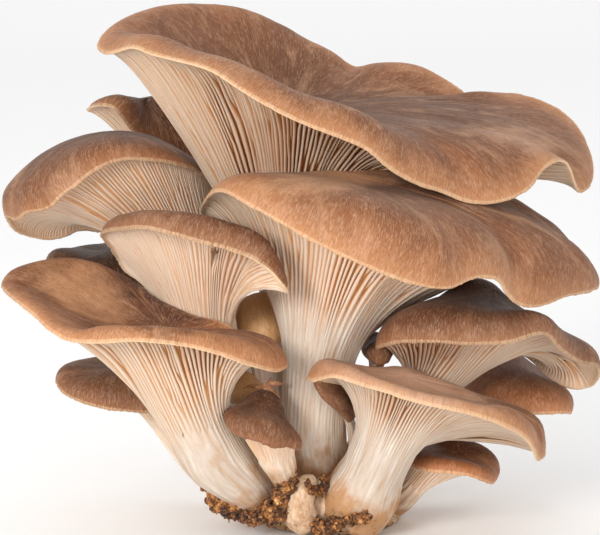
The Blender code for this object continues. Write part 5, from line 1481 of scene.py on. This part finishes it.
def toned(light, warm=1.0, **more):
    """The cap's four browns, lighter or darker, and warmer or greyer."""
    browns = dict(dark=(84, 48, 26), mid=(122, 75, 45), tan=(164, 112, 74), rim=(192, 148, 106))
    look = {}
    for key, (r, g, b) in browns.items():
        share = {"dark": 1.0, "mid": 1.0, "tan": 0.8, "rim": 0.35}[key]
        k = 1 + (light - 1) * share
        w = 1 + (warm - 1) * share
        look[key] = srgb(min(r * k, 235), min(g * k / w, 225), min(b * k / w / w, 215))
    look.update(more)
    return look


# per cap, how strongly its front is painted lighter (painted light) and its back darker (painted shade)
LOOKS = {
    "cap": {},
    "top_mushroom": toned(1.03, 1.0, patchy=0.6, pale_part=0.5, shaded=0.0, lit=0.0),
    "center_mushroom": toned(1.05, 1.0, patchy=0.36, pale_part=0.5, lit=0.06),
    "right_lower_mushroom": toned(1.15, 0.98, patchy=0.3, pale_part=0.55, lit=0.2, shaded=0.2),
    "left_lower_mushroom": toned(1.13, 1.0, patchy=0.4, pale_part=0.5, lit=0.4, shaded=0.85),
    "left_middle_mushroom": toned(0.8, 1.06, pale_part=0.3, lit=0.05),
    "left_upper_mushroom": toned(0.9, 1.03, lit=0.1),
    "left_upper_back_mushroom": toned(0.85, 1.04, pale_part=0.2),
    "left_back_mushroom": toned(0.6, 1.08, pale_part=0.1, lit=0.0),
    "left_small_mushroom": toned(0.84, 1.04, pale_part=0.3),
    "right_upper_mushroom": toned(0.84, 1.04, pale_part=0.35, lit=0.05),
    "right_back_mushroom": toned(1.08, 1.04, pale_part=0.3),
    "right_small_mushroom": toned(1.12, 1.06),
    "front_button": toned(0.86, 1.06, pale_part=0.3),
    "side_cap_mushroom": toned(0.85, 1.04),
    "tiny_mushroom": toned(0.8, 1.04),
    "young": dict(dark=srgb(182, 134, 84), mid=srgb(206, 160, 108), tan=srgb(214, 172, 122), rim=srgb(216, 176, 130), patchy=0.2, pale_part=0.3, shaded=0.0),
}
GILLS = {  # pitch at the margin, greatest depth, and how far above the neck they fade out
    "top_mushroom": (1.1, 2.0, 0.0),
    "center_mushroom": (1.4, 1.6, 24.0),
    "right_upper_mushroom": (1.1, 1.3, 0.0),
    "right_lower_mushroom": (0.95, 1.1, 13.0),
    "left_lower_mushroom": (1.15, 1.4, 4.0),
    "left_middle_mushroom": (0.95, 0.7, 2.0),
    "left_upper_mushroom": (1.05, 0.95, 6.0),
}
# painted shade: every flesh colour of these mushrooms is dimmed, for the ones that catch the most light
FLESH_PAINTED_SHADE = {"top_mushroom": 0.78, "center_mushroom": 0.9, "right_lower_mushroom": 0.78, "left_lower_mushroom": 0.8, "right_upper_mushroom": 0.9}
# tones of the painted patches: the pale two are painted highlights, the two browns painted shade
PALE, TAN, UMBER, GILL_SHADE_BROWN = srgb(200, 160, 132), srgb(190, 140, 100), srgb(62, 30, 14), srgb(150, 92, 34)
CAP_PAINTED_LIGHT_PATCHES = {  # paler and darker patches on the caps, all painted light: the PALE and TAN ones are painted highlights, the UMBER ones painted shade in hollows and under other caps
    "top_mushroom": [(520, 138, 0, 46, 20, 12, PALE, 0.5), (300, 50, -10, 60, 22, 38, UMBER, 0.3), (430, 95, 10, 26, 16, 20, UMBER, 0.25)],
    "center_mushroom": [(325, 184, -20, 70, 15, -8, TAN, 0.75), (480, 238, -20, 34, 20, 30, UMBER, 0.18)],
    "right_lower_mushroom": [(405, 380, -25, 95, 20, 12, PALE, 0.75)],
    "left_lower_mushroom": [(84, 286, -20, 62, 32, 18, TAN, 0.6), (152, 292, -30, 62, 32, 34, UMBER, 1.0)],
    "right_upper_mushroom": [(455, 300, -10, 60, 16, -14, UMBER, 0.2)],
}
GILL_PAINTED_SHADE = {  # painted shade: brown down between the gills where they converge in the shadow under the cap
    "top_mushroom": [(274, 142, -10, 30, 46, 20, GILL_SHADE_BROWN, 0.78), (352, 158, -10, 44, 20, 22, GILL_SHADE_BROWN, 0.78)],
    "center_mushroom": [(372, 285, -20, 36, 16, 20, GILL_SHADE_BROWN, 0.16)],
    "right_lower_mushroom": [(392, 400, -25, 30, 20, 10, GILL_SHADE_BROWN, 0.78), (430, 420, -25, 30, 14, 20, GILL_SHADE_BROWN, 0.46)],
    "left_lower_mushroom": [(196, 352, -25, 44, 24, 10, GILL_SHADE_BROWN, 0.70)],
    "right_upper_mushroom": [(428, 350, -5, 30, 14, 0, GILL_SHADE_BROWN, 0.59)],
    "left_middle_mushroom": [(228, 262, -20, 30, 34, 20, GILL_SHADE_BROWN, 0.54)],
}
for index, (name, spec) in enumerate(MUSHROOMS.items()):
    young = name.startswith("young")
    stem = spec["stem"]
    length = sum(math.dist((a[0] * GRID, a[1] * GRID, a[2]), (b[0] * GRID, b[1] * GRID, b[2])) for a, b in zip(stem, stem[1:]))
    loop = np.array([(m[0] * GRID, m[1] * GRID, m[2]) for m in spec["margin"]])
    perimeter = np.linalg.norm(np.roll(loop, -1, 0) - loop, axis=1).sum()
    spread = perimeter / (2 * np.pi) / (sum(s[3] for s in stem) / len(stem))
    reach = min(1.0, max(0.3, perimeter / 330)) * {"left_lower_mushroom": 0.6, "right_upper_mushroom": 0.8}.get(name, 1.0)
    other = (1.05, {"medium": 1.5, "small": 1.1, "tiny": 0.6}.get(spec["size"], 1.5), 0.0)
    pitch, tall, bare = GILLS.get(name, other)
    mats = [
        cap_material(name + "_cap", reach=reach, daubs=CAP_PAINTED_LIGHT_PATCHES.get(name, ()), **LOOKS.get(name, LOOKS["young" if young else "cap"])),
        flesh_material(name + "_flesh", spread, length, gill_end=-bare, light=FLESH_PAINTED_SHADE.get(name, 1.0), daubs=GILL_PAINTED_SHADE.get(name, ())),
    ]
    piece = grow(name, spec, mats, index + 1, pitch=pitch, gill_height=tall, bare=bare, even=0.03 if name == "left_middle_mushroom" else 0.006)
    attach(piece, "root")
    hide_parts(name)

base = base_piece([base_material("base_flesh")])
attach(base, "root")
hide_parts("base_clump")
bulb = bulb_material("knob_flesh")
for seed, (name, chain) in enumerate((("base_knob", KNOB), ("base_lump", LUMP))):
    piece = knob_piece(name, chain, seed, bulb)
    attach(piece, "root")
    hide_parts("base_clump")
earth = earth_material("crumbs")
for seed, (name, chain) in enumerate(CRUMBS.items()):
    piece = crust_piece(name, chain, seed + 1, earth)
    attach(piece, "root")
    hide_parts(name)
piece = shred_piece("torn_skin", skin_material("torn_skin"))
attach(piece, "root")
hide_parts("young_back_button")
